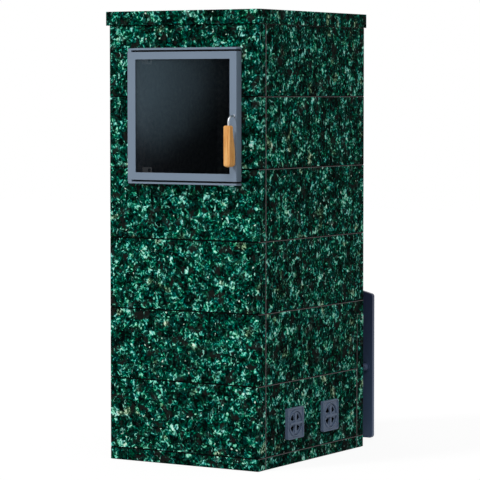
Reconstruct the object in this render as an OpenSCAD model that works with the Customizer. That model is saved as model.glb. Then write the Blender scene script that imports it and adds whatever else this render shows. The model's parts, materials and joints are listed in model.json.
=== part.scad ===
// Sauna stove with a closed stone heater, clad in stone slabs
// Origin on the floor under the middle of the stone body. The steam door faces -Y, the fuel door +Y.

/* [Stone body] */
// Width of the stone body across the steam door side
body_w = 505; // [500:5:560]
// Depth of the stone body from the steam door side to the fuel side
body_d = 610; // [590:5:680]
// Height from the floor to the top of the cap slab
body_h = 1300; // [1260:10:1340]
// Thickness of the cladding slabs
slab_t = 40; // [34:1:42]
// Thickness of the cap slab
cap_t = 40; // [30:1:50]
// How far the cap slab stands out over the front and the sides
cap_over = 7; // [3:1:15]
// Height of the plinth strips
plinth_h = 36; // [20:1:46]
// Chamfer along every edge of the wall slabs and the plinth
edge_chamfer = 2; // [0.5:0.5:3]
// Chamfer along every edge of the cap slab
cap_chamfer = 0.5; // [0.5:0.5:3]
// Height of the rear opening's head above the floor
rear_head_z = 404; // [400:1:430]
// How far the lintel's left joint lies above the steam opening
lintel_rise = 24; // [12:1:40]

/* [Steel stove] */
// Side gap between the cladding and the steel body
air_gap_x = 12.5; // [11:0.5:13]
// Front and rear gap between the cladding and the steel body
air_gap_y = 15; // [13:1:25]
// Wall of the steel body
shell_t = 4; // [3:0.5:5]
// Height of the steel body's underside above the floor
shell_foot = 58; // [54:1:60]
// Gap between the steel body and the cap slab
shell_headroom = 35; // [20:1:60]
// Height of the ash space under the grate
ash_h = 80; // [76:1:84]
// Thickness of the plate that carries the grate
shelf_t = 5; // [4:1:8]
// Thickness of the firebricks
brick_t = 30; // [20:1:40]
// Height of the firebrick lining
lining_h = 390; // [300:10:430]
// Radius of the levelling feet
foot_r = 22; // [16:1:30]

/* [Stone heater] */
// Height of the stone chamber's underside
chamber_z = 600; // [590:5:640]
// Side gap for flue gas beside the stone chamber
gas_gap_x = 12; // [8:1:13]
// Rear gap for flue gas behind the stone chamber
gas_gap_y = 76; // [60:2:100]
// Gap for flue gas above the stone chamber
gas_gap_z = 36; // [30:1:60]
// Width of a heater stone, as near as whole stones fit the chamber
rock_w = 90; // [70:5:120]
// Depth of a heater stone
rock_d = 102; // [70:2:120]
// Height of a heater stone
rock_h = 72; // [50:2:100]
// Gap left between the heater stones
rock_gap = 0.5; // [0.4:0.1:0.8]

/* [Flue] */
// Inner radius of the flue socket
flue_r = 57.5; // [50:0.5:60]
// Wall of the flue socket
flue_t = 2.5; // [1.5:0.5:4]
// Distance of the flue socket behind the middle of the body
flue_y = 140; // [100:5:160]
// How far the flue socket stands above the cap slab
flue_rise = 6; // [2:1:20]

/* [Steam opening] */
// Clear width of the steam opening
steam_w = 325; // [290:5:330]
// Clear height of the steam opening
steam_h = 330; // [310:5:340]
// Distance of the opening's middle below the cap slab
steam_drop = 260; // [240:5:265]
// Distance of the opening's middle to the right of the body's middle
steam_off = 14.5; // [5:0.5:15]
// Wall of the neck around the opening
neck_t = 3; // [2:0.5:3]
// How far the neck stands out of the stone face
neck_proud = 18; // [16:0.5:19]
// Gap between the neck and the cladding
neck_gap = 4; // [2:0.5:6]

/* [Steam door] */
// How far the door covers the opening at each side
door_lap_x = 21; // [20:0.5:24]
// How far the door covers the opening above and below
door_lap_z = 17.5; // [16:0.5:20]
// Distance from the stone face to the door's face
door_proud = 30; // [30:0.5:36]
// Thickness of the door's folded sheet
sheet_t = 3; // [2:0.5:3]
// Width of the door's stile on the hinge side
stile_left = 26.5; // [24:0.5:28]
// Width of the door's stile on the handle side
stile_right = 22.5; // [22:0.5:26]
// Width of the door's rails
rail = 21; // [21:0.5:24]
// Thickness of the frame plate on the stone
flange_t = 2.5; // [1.5:0.5:3]
// Thickness of the hoods above and below the door
hood_t = 5; // [3:0.5:6]
// Gap between the door and the hoods
hood_gap = 5.5; // [3:0.5:6]
// Radius of the pivot pins
pivot_r = 3.5; // [3:0.5:4]
// Distance of the pivot axis from the door's left edge
pivot_in = 9; // [8.5:0.5:10]
// Distance of the pivot axis behind the door's face
pivot_back = 13; // [12:0.5:14]
// Thickness of the glass
glass_t = 4; // [3:0.5:5]

/* [Handles] */
// Radius of the handle rods
rod_r = 3; // [3:0.25:3.75]
// Distance of the steam handle from the door's right edge
handle_in = 8; // [7.5:0.5:9]
// Height of the steam handle above the middle of the door
handle_rise = 1.5; // [-20:0.5:20]
// Distance from the door's face to the hanging part of the rod
rod_out = 29; // [26:0.5:36]
// Bend radius of the handle rods
bend_r = 18; // [8:0.5:20]
// Length of the wooden grips
grip_len = 116; // [90:2:130]
// Width of the wooden grips
grip_w = 20; // [20:0.5:26]
// Distance from the handle's axis down to the grip
grip_drop = 26.5; // [22:0.5:40]
// Depth of the grip at its top
grip_top = 17; // [15:0.5:20]
// Depth of the grip at its fullest
grip_full = 29; // [22:0.5:30]

/* [Vents] */
// Side of the square vent frame
vent_size = 90; // [84:1:100]
// Thickness of the vent frame
vent_t = 8; // [6:0.5:10]
// Height of the rim around the vent frame
vent_rim = 2.5; // [1:0.5:4]
// Corner radius of the vent frame
vent_corner = 5; // [4:1:14]
// Height of the vents above the floor
vent_z = 118.5; // [110:0.5:130]
// Place of the front vents along the side wall
vent_front_y = -113; // [-140:1:-90]
// Place of the rear vents along the side wall
vent_rear_y = 90; // [60:1:120]
// Radius of the damper disc
damper_r = 34; // [33:0.5:38]
// Width of the damper's grip bar
bar_w = 6; // [6:0.5:10]

/* [Fuel side] */
// Distance from the stone body to the portal plate
wall_gap = 150; // [100:5:200]
// Width of the portal plate
portal_w = 402; // [380:2:420]
// Height of the portal plate's lower edge
portal_z = 4; // [4:1:20]
// Height at which the portal plate's sides end
portal_side_z = 448; // [446:1:470]
// Rise of the portal plate's arch
portal_rise = 28; // [10:1:40]
// Thickness of the portal plate
portal_t = 6; // [4:0.5:8]
// Depth of the rim around the portal plate
portal_rim = 13; // [10:0.5:16]
// Corner radius of the portal plate
portal_corner = 9; // [4:1:14]
// Width of the fuel channel
channel_w = 260; // [250:2:264]
// Height of the fuel channel
channel_h = 334; // [330:1:336]
// Width of the fuel opening
fuel_w = 224; // [200:2:230]
// Height of the fuel opening
fuel_h = 205; // [190:5:215]
// Thickness of the fuel door
fuel_t = 12; // [12:0.5:16]
// Width of the ash drawer
drawer_w = 220; // [190:2:224]
// Height of the ash drawer
drawer_h = 70; // [60:1:72]
// Length of the ash drawer
drawer_len = 630; // [500:10:640]

/* [Hidden] */
course_count = 6;
right_names = [for (i = [1:course_count]) str("right_slab_", i)];
left_names = [for (i = [1:course_count]) str("left_slab_", i)];
vent_names = ["right_front", "right_rear", "left_front", "left_rear"];

$fn = 48;
// Gap between pieces that move past each other, and the radial play of a pin in its bore
gap = 0.3;
play = 0.05;
// Hairline left by a seam between two sheets of one welded or folded piece
seam = 0.2;
// How far a cutting tool reaches past the face it cuts
over = 1;

// Stone body
half_w = body_w / 2;
half_d = body_d / 2;
in_x = half_w - slab_t;
in_y = half_d - slab_t;
cap_under = body_h - cap_t;
course_h = (cap_under - plinth_h) / course_count;
flue_hole_gap = 6;

// Steel body, its outer and inner corner
shell_x = in_x - air_gap_x;
shell_y = in_y - air_gap_y;
shell_top = cap_under - shell_headroom;
room_x = shell_x - shell_t;
room_y = shell_y - shell_t;
room_z = shell_foot + shell_t;
room_top = shell_top - shell_t;
shelf_z = room_z + ash_h;
hearth_z = shelf_z + shelf_t;

// Fire grate
grate_x = 105;
grate_y = [-190, 150];
grate_lap = 10;

// Steam opening, its corners in x and z, and the hole in the stone around it
steam_mid_z = cap_under - steam_drop;
open_x = [steam_off - steam_w / 2, steam_off + steam_w / 2];
open_z = [steam_mid_z - steam_h / 2, steam_mid_z + steam_h / 2];
cut = neck_t + neck_gap;
neck_y = -half_d - neck_proud;

// Stone chamber, and the top of the stones in it
chamber_t = 4;
chamber_x = room_x - gas_gap_x;
chamber_back = room_y - gas_gap_y;
chamber_top = room_top - gas_gap_z;
fill_drop = 15;
fill_z = open_z[0] - fill_drop;

// Steam door, its outside corners and the planes behind its face
tray_gap = 1;
hinge_relief = 9;
retainer_t = 1.5;
door_x = [open_x[0] - door_lap_x, open_x[1] + door_lap_x];
door_z = [open_z[0] - door_lap_z, open_z[1] + door_lap_z];
tray_x = [door_x[0] + sheet_t, door_x[1] - sheet_t];
tray_z = [door_z[0] + sheet_t, door_z[1] - sheet_t];
face_y = -half_d - door_proud;
sheet_y = face_y + sheet_t;
glass_back = sheet_y + glass_t;
retainer_back = glass_back + retainer_t;
flange_y = -half_d - flange_t;
tray_back = flange_y - tray_gap;
hinge_back = flange_y - hinge_relief;

// Pivot axis of the steam door, and the hoods that hold its pins
hood_nose = 4;
pivot_x = door_x[0] + pivot_in;
pivot_y = face_y + pivot_back;
hood_x = [pivot_x - pivot_r - hood_nose, door_x[1]];

// Glass of the steam door, set in from the door's edges
glass_in_left = 11;
glass_in_right = 15.5;
glass_in_z = 11.5;
glass_x = [door_x[0] + glass_in_left, door_x[1] - glass_in_right];
glass_z = [door_z[0] + glass_in_z, door_z[1] - glass_in_z];

// Screws of the glass retainer
screw_in = 6;
screw_r = 1.6;
screw_play = 0.1;
screw_count = 4;
screw_x = [(tray_x[0] + glass_x[0]) / 2, tray_x[1] - screw_in];

// Bush of the steam handle
bush_in = 6;
bush_len = 15;
bush_half = 6.5;
handle_x = door_x[1] - handle_in;
handle_z = steam_mid_z + handle_rise;
bush_x = handle_x - bush_in;
bush_back = sheet_y + bush_len;

// Latch cams
cam_t = 3;
cam_gap = 0.6;

// Gasket of both doors
gasket_w = 8;

// Vents
spigot_r = 32;
spigot_gap = 1;
stud_r = 3;
stud_h = 5;
vent_floor_t = vent_t / 2;

// Fuel channel
channel_t = 4;
channel_gap = 8;
channel_x = channel_w / 2;
channel_top = shell_foot + channel_h;
channel_room_x = channel_x - channel_t;
rear_jamb_x = channel_x + channel_gap;

// Portal plate with its wall bolts
portal_y = half_d + wall_gap;
plate_y = portal_y + portal_t;
bolt_in = 24;
bolt_x = portal_w / 2 - bolt_in;
bolt_z = 223;
bolt_r = 5;

// Fuel opening and the door leaf over it
sill_h = 18;
leaf_lap = 13;
leaf_gap = 2;
fuel_x = fuel_w / 2;
fuel_z = [hearth_z + sill_h, hearth_z + sill_h + fuel_h];
leaf_x = fuel_x + leaf_lap;
leaf_z = [fuel_z[0] - leaf_lap, fuel_z[1] + leaf_lap];
leaf_y = plate_y + leaf_gap;
leaf_front = leaf_y + fuel_t;

// Hinge of the fuel door
hinge_r = 8;
hinge_pin_r = 4;
hinge_out = 12;
hinge_lift = 1;
hinge_low = 28;
hinge_high = 52;
knuckle_h = 20;
hinge_x = leaf_x + hinge_out;
hinge_y = plate_y + hinge_r + hinge_lift;
hinge_z = [leaf_z[0] + hinge_low, leaf_z[1] - hinge_high];

// Window and handle of the fuel door
window_x = 75;
window_margin = 50;
glass_lap = 10;
fuel_glass_t = 5;
fuel_handle_in = 14;
fuel_handle_rise = 30;
window_z = [fuel_z[0] + window_margin, fuel_z[1] - window_margin];
fuel_handle_x = -(fuel_x - fuel_handle_in);
fuel_handle_z = (fuel_z[0] + fuel_z[1]) / 2 + fuel_handle_rise;

// Ash drawer and its air slide, drawn fully open
drawer_t = 2;
front_t = 6;
slot_len = 26;
slot_h = 12;
slot_pitch = 56;
slide_rise = 36;
slide_half = 14;
slide_t = 2.5;
drawer_x = drawer_w / 2;
drawer_z = room_z + gap;
drawer_top = drawer_z + drawer_h;
drawer_front = plate_y + gap;
slide_z = drawer_z + slide_rise;

// Colours
stone_dark = "#123528";
rock_grey = "#4a4f4b";
steel_blue = "#5d6880";
steel_raw = "#6a6a6c";
steel_bright = "silver";
iron_dark = "#3a3a3e";
portal_navy = "#2b3444";
brick_tan = "#c8a878";
wood_tan = "#d69a5a";
rope_dark = "#2c2c30";
glass_dark = "#20302e";

// A box between two opposite corners
module block(low, high) translate(low) cube(high - low);

// A rectangular frame in the XZ plane between y[0] and y[1], outside and inside corners in x and z
module ring_plate(ox, oz, ix, iz, y)
  difference() {
    block([ox[0], y[0], oz[0]], [ox[1], y[1], oz[1]]);
    block([ix[0], y[0] - over, iz[0]], [ix[1], y[1] + over, iz[1]]);
  }

// A cylinder along y that starts at the plane y = from and runs toward -Y
module rod_y(from, h, r) translate([0, from, 0]) rotate([90, 0, 0]) cylinder(h = h, r = r);

// Points of a quarter circle from the angle a on, counterclockwise
function quarter(x, z, r, a) = [for (i = [0:5]) [x + r * cos(a + 18 * i), z + r * sin(a + 18 * i)]];

// Outline of a w by h rectangle with its corners cut off by c
module cut_corners(w, h, c)
  polygon([[c, 0], [w - c, 0], [w, c], [w, h - c], [w - c, h], [c, h], [0, h - c], [0, c]]);

// A slab between two opposite corners, with the chamfer c along every edge
module slab(low, high, c = edge_chamfer) {
  size = high - low;
  translate(low)
  intersection() {
    linear_extrude(size.z) cut_corners(size.x, size.y, c);
    rotate([90, 0, 90]) linear_extrude(size.x) cut_corners(size.y, size.z, c);
    translate([0, size.y, 0]) rotate([90, 0, 0]) linear_extrude(size.y) cut_corners(size.x, size.z, c);
  }
}

function course_z(i) = plinth_h + (i - 1) * course_h;

module front_piece(x, z) slab([x[0], -half_d, z[0]], [x[1], -in_y, z[1]]);
module side_piece(y, z) slab([in_x, y[0], z[0]], [half_w, y[1], z[1]]);
module rear_piece(x, z) slab([x[0], in_y, z[0]], [x[1], half_d, z[1]]);

// The hole in the front slabs for the neck of the stone chamber
module stone_opening()
  block([open_x[0] - cut, -half_d - over, open_z[0] - cut],
        [open_x[1] + cut, -in_y + over, open_z[1] + cut]);

// Flush with the stone body at the rear
module cap_slab()
  color(stone_dark)
  difference() {
    slab([-half_w - cap_over, -half_d - cap_over, cap_under], [half_w + cap_over, half_d, body_h],
         cap_chamfer);
    translate([0, flue_y, cap_under - over])
      cylinder(h = cap_t + 2 * over, r = flue_r + flue_t + flue_hole_gap);
  }

// Four strips that the lowest slabs stand on
module plinth_strips() {
  side_y = in_y - gap / 2;
  color(stone_dark) {
    front_piece([-half_w, half_w], [0, plinth_h]);
    rear_piece([-half_w, half_w], [0, plinth_h]);
    side_piece([-side_y, side_y], [0, plinth_h]);
    mirror([1, 0, 0]) side_piece([-side_y, side_y], [0, plinth_h]);
  }
}

module front_slab(i)
  color(stone_dark)
  difference() {
    front_piece([-half_w, half_w], [course_z(i), course_z(i + 1)]);
    stone_opening();
  }

module front_jamb_left()
  color(stone_dark) front_piece([-half_w, open_x[0] - cut], [course_z(5), course_z(6)]);

module front_jamb_right()
  color(stone_dark) front_piece([open_x[1] + cut, half_w], [course_z(5), course_z(6)]);

module front_jamb_top()
  color(stone_dark)
  front_piece([-half_w, open_x[0] - cut], [course_z(6), open_z[1] + cut + lintel_rise]);

// The top slab reaches down beside the opening on the right
module front_lintel()
  color(stone_dark)
  difference() {
    front_piece([-half_w, half_w], [course_z(6), cap_under]);
    stone_opening();
    block([-half_w - over, -half_d - over, course_z(6) - over],
          [open_x[0] - cut, -in_y + over, open_z[1] + cut + lintel_rise]);
  }

// The lowest side slab ends at the rear jamb and carries the vents, the next one is notched over it
module right_slab(i)
  color(stone_dark)
  difference() {
    side_piece([-in_y, i == 1 ? in_y : half_d], [course_z(i), course_z(i + 1)]);
    if (i == 1)
      for (y = [vent_front_y, vent_rear_y])
        translate([in_x - over, y, vent_z]) rotate([0, 90, 0])
          cylinder(h = slab_t + 2 * over, r = spigot_r + spigot_gap);
    if (i == 2)
      block([in_x - over, in_y, course_z(i) - over], [half_w + over, half_d + over, rear_head_z]);
  }

module left_slab(i) mirror([1, 0, 0]) right_slab(i);

module rear_jamb_right()
  color(stone_dark) rear_piece([rear_jamb_x, half_w], [plinth_h, rear_head_z]);

module rear_jamb_left() mirror([1, 0, 0]) rear_jamb_right();

module rear_lintel()
  color(stone_dark) rear_piece([-in_x, in_x], [rear_head_z, course_z(4)]);

// Three equal slabs above the rear lintel
module rear_slabs()
  color(stone_dark)
  for (i = [4:course_count])
    rear_piece([-in_x, in_x], [course_z(i) + gap / 2, course_z(i + 1) - gap / 2]);

// Plates of the welded steel body: floor, roof, four walls, and the hearth plate that carries the grate
module stove_body() {
  hole = neck_t + gap;
  foot_z = room_z + seam;
  head_z = room_top - seam;
  inner_x = room_x - seam;
  inner_y = room_y - seam;
  color(steel_raw) {
    block([-shell_x, -shell_y, shell_foot], [shell_x, shell_y, room_z]);
    for (x = [-shell_x, room_x])
      block([x, -inner_y, foot_z], [x + shell_t, inner_y, head_z]);
    difference() {
      block([-shell_x, -shell_y, foot_z], [shell_x, -room_y, head_z]);
      block([open_x[0] - hole, -shell_y - over, open_z[0] - hole],
            [open_x[1] + hole, -room_y + over, open_z[1] + hole]);
    }
    difference() {
      block([-shell_x, room_y, foot_z], [shell_x, shell_y, head_z]);
      block([-channel_room_x, room_y - over, room_z - over],
            [channel_room_x, shell_y + over, channel_top - channel_t]);
    }
    difference() {
      block([-shell_x, -shell_y, room_top], [shell_x, shell_y, shell_top]);
      translate([0, flue_y, room_top - over])
        cylinder(h = shell_t + 2 * over, r = flue_r + flue_t + gap);
    }
    difference() {
      block([-inner_x, -inner_y, shelf_z], [inner_x, inner_y, hearth_z]);
      block([-grate_x + grate_lap, grate_y[0] + grate_lap, shelf_z - over],
            [grate_x - grate_lap, grate_y[1] - grate_lap, hearth_z + over]);
    }
  }
}

// Slotted casting that lies on the hearth plate
module fire_grate() {
  grate_t = 12;
  slot_w = 10;
  slots = 9;
  end_w = 25;
  color(iron_dark)
  difference() {
    block([-grate_x, grate_y[0], hearth_z], [grate_x, grate_y[1], hearth_z + grate_t]);
    for (i = [0:slots - 1])
      let (x = (i - (slots - 1) / 2) * 2 * slot_w)
        block([x - slot_w / 2, grate_y[0] + end_w, hearth_z - over],
              [x + slot_w / 2, grate_y[1] - end_w, hearth_z + grate_t + over]);
  }
}

// Two rows of bricks along the sides and the front of the fire room
module firebricks() {
  rows = 2;
  side_count = 4;
  front_count = 3;
  joint = 0.4;
  row_h = lining_h / rows;
  side_len = 2 * room_y / side_count;
  front_half = room_x - brick_t - joint;
  front_len = 2 * front_half / front_count;
  color(brick_tan)
  for (r = [0:rows - 1])
    let (low = hearth_z + r * row_h, high = hearth_z + (r + 1) * row_h - joint) {
      for (s = [0:1], i = [0:side_count - 1])
        mirror([s, 0, 0])
          block([room_x - brick_t, -room_y + i * side_len, low],
                [room_x, -room_y + (i + 1) * side_len - joint, high]);
      for (i = [0:front_count - 1])
        block([-front_half + i * front_len, -room_y, low],
              [-front_half + (i + 1) * front_len - joint, -room_y + brick_t, high]);
    }
}

// Closed heater for the stones, with its neck toward the steam door and two lugs in the neck
module stone_chamber() {
  t = chamber_t;
  lug_w = 31;
  lug_h = 17;
  lug_hole = 10;
  lug_edge = 3;
  lug_in = 14;
  lug_y = -half_d + lug_in;
  hole_x = open_x[0] + lug_w - lug_edge;
  color(steel_raw) {
    difference() {
      union() {
        block([-chamber_x, -room_y, chamber_z], [chamber_x, chamber_back, chamber_top]);
        block([open_x[0] - neck_t, neck_y, open_z[0] - neck_t],
              [open_x[1] + neck_t, -room_y + t, open_z[1] + neck_t]);
      }
      block([-chamber_x + t, -room_y + t, chamber_z + t],
            [chamber_x - t, chamber_back - t, chamber_top - t]);
      block([open_x[0], neck_y - over, open_z[0]], [open_x[1], -room_y + t + over, open_z[1]]);
    }
    for (low = [open_z[0], open_z[1] - lug_h])
      difference() {
        block([open_x[0] - neck_t, lug_y, low], [open_x[0] + lug_w, lug_y + neck_t, low + lug_h]);
        block([hole_x - lug_hole, lug_y - over, low + (lug_h - lug_hole) / 2],
              [hole_x, lug_y + neck_t + over, low + (lug_h + lug_hole) / 2]);
      }
  }
}

// Split stones, one in each cell of a grid, with their corners broken off at a random turn
module heater_stones() {
  split = [1.02, 1.08, 1.3];
  turn_min = 18;
  turn_max = 52;
  seed = 7;
  low = [-chamber_x + chamber_t, -room_y + chamber_t, chamber_z + chamber_t];
  high = [chamber_x - chamber_t, chamber_back - chamber_t, fill_z];
  wanted = [rock_w, rock_d, rock_h];
  count = [for (k = [0:2]) max(1, round((high[k] - low[k]) / wanted[k]))];
  cell = [for (k = [0:2]) (high[k] - low[k]) / count[k]];
  rock = [for (k = [0:2]) cell[k] - rock_gap];
  turns = rands(turn_min, turn_max, 3 * count.x * count.y * count.z, seed);
  color(rock_grey)
  for (i = [0:count.x - 1], j = [0:count.y - 1], k = [0:count.z - 1])
    let (n = 3 * (i + count.x * (j + count.y * k)))
      translate([low.x + (i + 0.5) * cell.x, low.y + (j + 0.5) * cell.y, low.z + (k + 0.5) * cell.z])
        intersection() {
          cube(rock, center = true);
          rotate([turns[n], turns[n + 1], turns[n + 2]])
            cube([for (a = [0:2]) split[a] * rock[a]], center = true);
        }
}

// Sleeve for the flue pipe with its collar on the steel body
module flue_socket() {
  collar_t = 3;
  collar_w = 12;
  len = body_h + flue_rise - room_top;
  color(steel_raw)
  translate([0, flue_y, room_top])
  difference() {
    union() {
      cylinder(h = len, r = flue_r + flue_t);
      translate([0, 0, shell_t]) cylinder(h = collar_t, r = flue_r + flue_t + collar_w);
    }
    translate([0, 0, -over]) cylinder(h = len + 2 * over, r = flue_r);
  }
}

// Four feet, each a pad, a threaded stud and a lock nut
module levelling_feet() {
  pad_h = 7;
  foot_stud_r = 6;
  nut_h = 9;
  nut_r = 11;
  inset = foot_r + 12;
  color(steel_raw)
  for (x = [-1, 1], y = [-1, 1])
    translate([x * (shell_x - inset), y * (shell_y - inset), 0]) {
      cylinder(h = pad_h, r = foot_r);
      cylinder(h = shell_foot, r = foot_stud_r);
      translate([0, 0, shell_foot - nut_h]) cylinder(h = nut_h, r = nut_r, $fn = 6);
    }
}

// Upright angles in the four inner corners that the slabs are pinned to
module corner_angles() {
  leg = 25;
  t = 2.5;
  color(steel_raw)
  for (x = [0, 1], y = [0, 1])
    mirror([x, 0, 0]) mirror([0, y, 0])
      difference() {
        block([in_x - leg, in_y - leg, 0], [in_x, in_y, cap_under]);
        block([in_x - leg - over, in_y - leg - over, -over], [in_x - t, in_y - t, cap_under + over]);
      }
}

// Frame plate on the stone, and the hoods above and below the door, each with a boss and a pivot pin
module steam_frame() {
  edge = 1.5;
  plate_in = 3;
  pin_reach = 7;
  boss_h = hood_gap - gap;
  boss_right = pivot_x + pivot_r + 0.5;
  margin = hood_gap + hood_t + edge;
  pin_len = hood_gap + sheet_t + pin_reach;
  hood_low = [door_z[0] - hood_gap - hood_t, door_z[1] + hood_gap];
  color(steel_blue) {
    ring_plate([door_x[0] + plate_in, door_x[1] - plate_in], [door_z[0] - margin, door_z[1] + margin],
               [open_x[0] - neck_t - gap, open_x[1] + neck_t + gap],
               [open_z[0] - neck_t - gap, open_z[1] + neck_t + gap], [flange_y, -half_d]);
    for (z = hood_low) block([hood_x[0], face_y, z], [hood_x[1], flange_y, z + hood_t]);
    for (z = [hood_low[0] + hood_t, hood_low[1] - boss_h])
      block([hood_x[0], face_y, z], [boss_right, flange_y, z + boss_h]);
    for (z = [hood_low[0] + hood_t, hood_low[1] - pin_len])
      translate([pivot_x, pivot_y, z]) cylinder(h = pin_len, r = pivot_r);
  }
}

// Folded tray with the window, the pivot blocks in its left corners and the bush of the handle
module steam_door() {
  pivot_block_h = 8;
  pivot_block_right = 8;
  pivot_block_back = 7;
  grub_y = face_y + 12.2;
  grub_r = 1.5;
  block_x = [tray_x[0], pivot_x + pivot_block_right];
  block_y = [sheet_y, pivot_y + pivot_block_back];
  block_z = [tray_z[0], tray_z[1] - pivot_block_h];
  color(steel_blue)
  difference() {
    union() {
      difference() {
        block([door_x[0], face_y, door_z[0]], [door_x[1], tray_back, door_z[1]]);
        block([tray_x[0], sheet_y, tray_z[0]], [tray_x[1], tray_back + over, tray_z[1]]);
        block([door_x[0] - over, hinge_back, door_z[0] - over],
              [pivot_x, tray_back + over, door_z[1] + over]);
      }
      for (z = block_z)
        block([block_x[0], block_y[0], z], [block_x[1], block_y[1], z + pivot_block_h]);
      block([bush_x, sheet_y, handle_z - bush_half], [tray_x[1], bush_back, handle_z + bush_half]);
    }
    block([door_x[0] + stile_left, face_y - over, door_z[0] + rail],
          [door_x[1] - stile_right, sheet_y + over, door_z[1] - rail]);
    for (z = [door_z[0] - over, block_z[1] - over])
      translate([pivot_x, pivot_y, z])
        cylinder(h = pivot_block_h + sheet_t + 2 * over, r = pivot_r + play);
    translate([handle_x, 0, handle_z])
      rod_y(bush_back + over, bush_back - face_y + 2 * over, rod_r + play);
    translate([tray_x[1], grub_y, handle_z]) rotate([0, 90, 0])
      cylinder(h = sheet_t + over, r = grub_r);
  }
}

module steam_glass()
  color(glass_dark, 0.6)
  block([glass_x[0], sheet_y, glass_z[0]], [glass_x[1], glass_back, glass_z[1]]);

// Places what it is given at each screw, four on each side of the glass
module screw_places()
  for (x = screw_x, k = [0:screw_count - 1])
    translate([x, retainer_back, steam_mid_z + (k - (screw_count - 1) / 2) * steam_h / screw_count])
      rotate([90, 0, 0]) children();

// Sheet frame that clamps the glass, cut away around the bush of the handle
module glass_retainer() {
  y = [glass_back, retainer_back];
  lap = 2;
  color(steel_blue)
  difference() {
    ring_plate([tray_x[0] + gap, tray_x[1] - gap], glass_z,
               [open_x[0] + lap, open_x[1] - lap], [open_z[0] + lap, open_z[1] - lap], y);
    block([bush_x - gap, y[0] - over, handle_z - bush_half - gap],
          [door_x[1], y[1] + over, handle_z + bush_half + gap]);
    screw_places() cylinder(h = 4 * glass_t, r = screw_r + screw_play, center = true);
  }
}

// Eight screws with low heads behind the retainer
module retainer_screws() {
  head_r = 2.6;
  head_t = 1.8;
  color(steel_raw)
  screw_places() {
    cylinder(h = retainer_back - sheet_y, r = screw_r);
    translate([0, 0, -head_t]) cylinder(h = head_t, r = head_r);
  }
}

// Flat fibre rope between the retainer and the edge of the neck
module steam_gasket() {
  out = (neck_t + gasket_w) / 2;
  in = (neck_t - gasket_w) / 2;
  color(rope_dark)
  ring_plate([open_x[0] - out, open_x[1] + out], [open_z[0] - out, open_z[1] + out],
             [open_x[0] - in, open_x[1] + in], [open_z[0] - in, open_z[1] + in],
             [retainer_back, neck_y - gap]);
}

// Bent rod with a collar outside and a latch cam inside
// The door's face is at y = 0. The cam ends at y = back and its corners turn with the radius cam_reach.
module handle_rod(back, cam_reach, cam_side) {
  hub_r = 5;
  collar_r = rod_r + 1;
  collar_t = 1;
  cam_w = 8;
  cam_len = sqrt(pow(cam_reach, 2) - pow(cam_w / 2, 2));
  grip_hold = 60;
  color(steel_bright) {
    rod_y(back, back + rod_out - bend_r, rod_r);
    rod_y(-gap, collar_t, collar_r);
    rod_y(back, cam_t, hub_r);
    mirror([cam_side < 0 ? 1 : 0, 0, 0])
      block([0, back - cam_t, -cam_w / 2], [cam_len, back, cam_w / 2]);
    translate([0, bend_r - rod_out, -bend_r]) rotate([90, 0, 90]) rotate([0, 0, 90])
      rotate_extrude(angle = 90) translate([bend_r, 0]) circle(r = rod_r);
    translate([0, -rod_out, -grip_drop - grip_hold])
      cylinder(h = grip_drop + grip_hold - bend_r, r = rod_r);
  }
}

// Wooden grip, flat in front, with a belly toward the door and rounded lower corners
module wood_grip() {
  front = -rod_out - 10;
  top = -grip_drop;
  low = top - grip_len;
  half = grip_w / 2;
  end_r = 8;
  cheek_r = 9;
  nose = 4;
  brow = 2;
  ease = 3;
  bore_depth = 60;
  steps = 10;
  belly_share = 0.8;
  belly = [for (i = [0:steps])
    let (u = i / steps, swell = pow(sin(90 * min(1, u / belly_share)), 2))
      [front + grip_top + (grip_full - grip_top) * swell, top - ease - u * (grip_len - ease - end_r)]];
  foot = quarter(front + grip_full - end_r, low + end_r, end_r, -90);
  color(wood_tan)
  difference() {
    intersection() {
      rotate([90, 0, 90]) translate([0, 0, -half]) linear_extrude(grip_w)
        polygon(concat([[front + brow, top], [front + grip_top - ease, top]], belly,
                       [for (i = [4:-1:0]) foot[i]],
                       [[front + nose, low], [front, low + nose], [front, top - brow]]));
      rotate([90, 0, 0]) translate([0, 0, -2 * rod_out]) linear_extrude(4 * rod_out)
        polygon(concat(quarter(half - cheek_r, low + cheek_r, cheek_r, -90),
                       [[half, top - ease], [half - ease, top], [-half + ease, top], [-half, top - ease]],
                       quarter(cheek_r - half, low + cheek_r, cheek_r, 180)));
    }
    translate([0, -rod_out, top - bore_depth]) cylinder(h = bore_depth + over, r = rod_r + play);
  }
}

module at_steam_handle() translate([handle_x, face_y, handle_z]) children();

module steam_handle_rod()
  at_steam_handle()
    handle_rod(bush_back - face_y + gap + cam_t, handle_x - open_x[1] - neck_t - cam_gap, -1);

module steam_grip() at_steam_handle() wood_grip();

// Four windows of a rotary vent
module windows(h) {
  inner_r = 12;
  outer_r = 28.5;
  half_angle = 20;
  linear_extrude(h)
  for (k = [0:3])
    intersection() {
      difference() {
        circle(r = outer_r);
        circle(r = inner_r);
      }
      wedge(2 * outer_r, 90 * k + 45, half_angle);
    }
}

// A wedge of the plane around the angle middle, as far out as r
module wedge(r, middle, half_angle)
  polygon(concat([[0, 0]],
                 [for (i = [-2:2]) let (a = middle + half_angle * i / 2) [r * cos(a), r * sin(a)]]));

module rounded_square(side, r, h) {
  a = side / 2;
  for (s = [[a, a - r], [a - r, a]])
    translate([-s.x, -s.y, 0]) cube([2 * s.x, 2 * s.y, h]);
  for (x = [-1, 1], y = [-1, 1])
    translate([x * (a - r), y * (a - r), 0]) cylinder(h = h, r = r);
}

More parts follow.
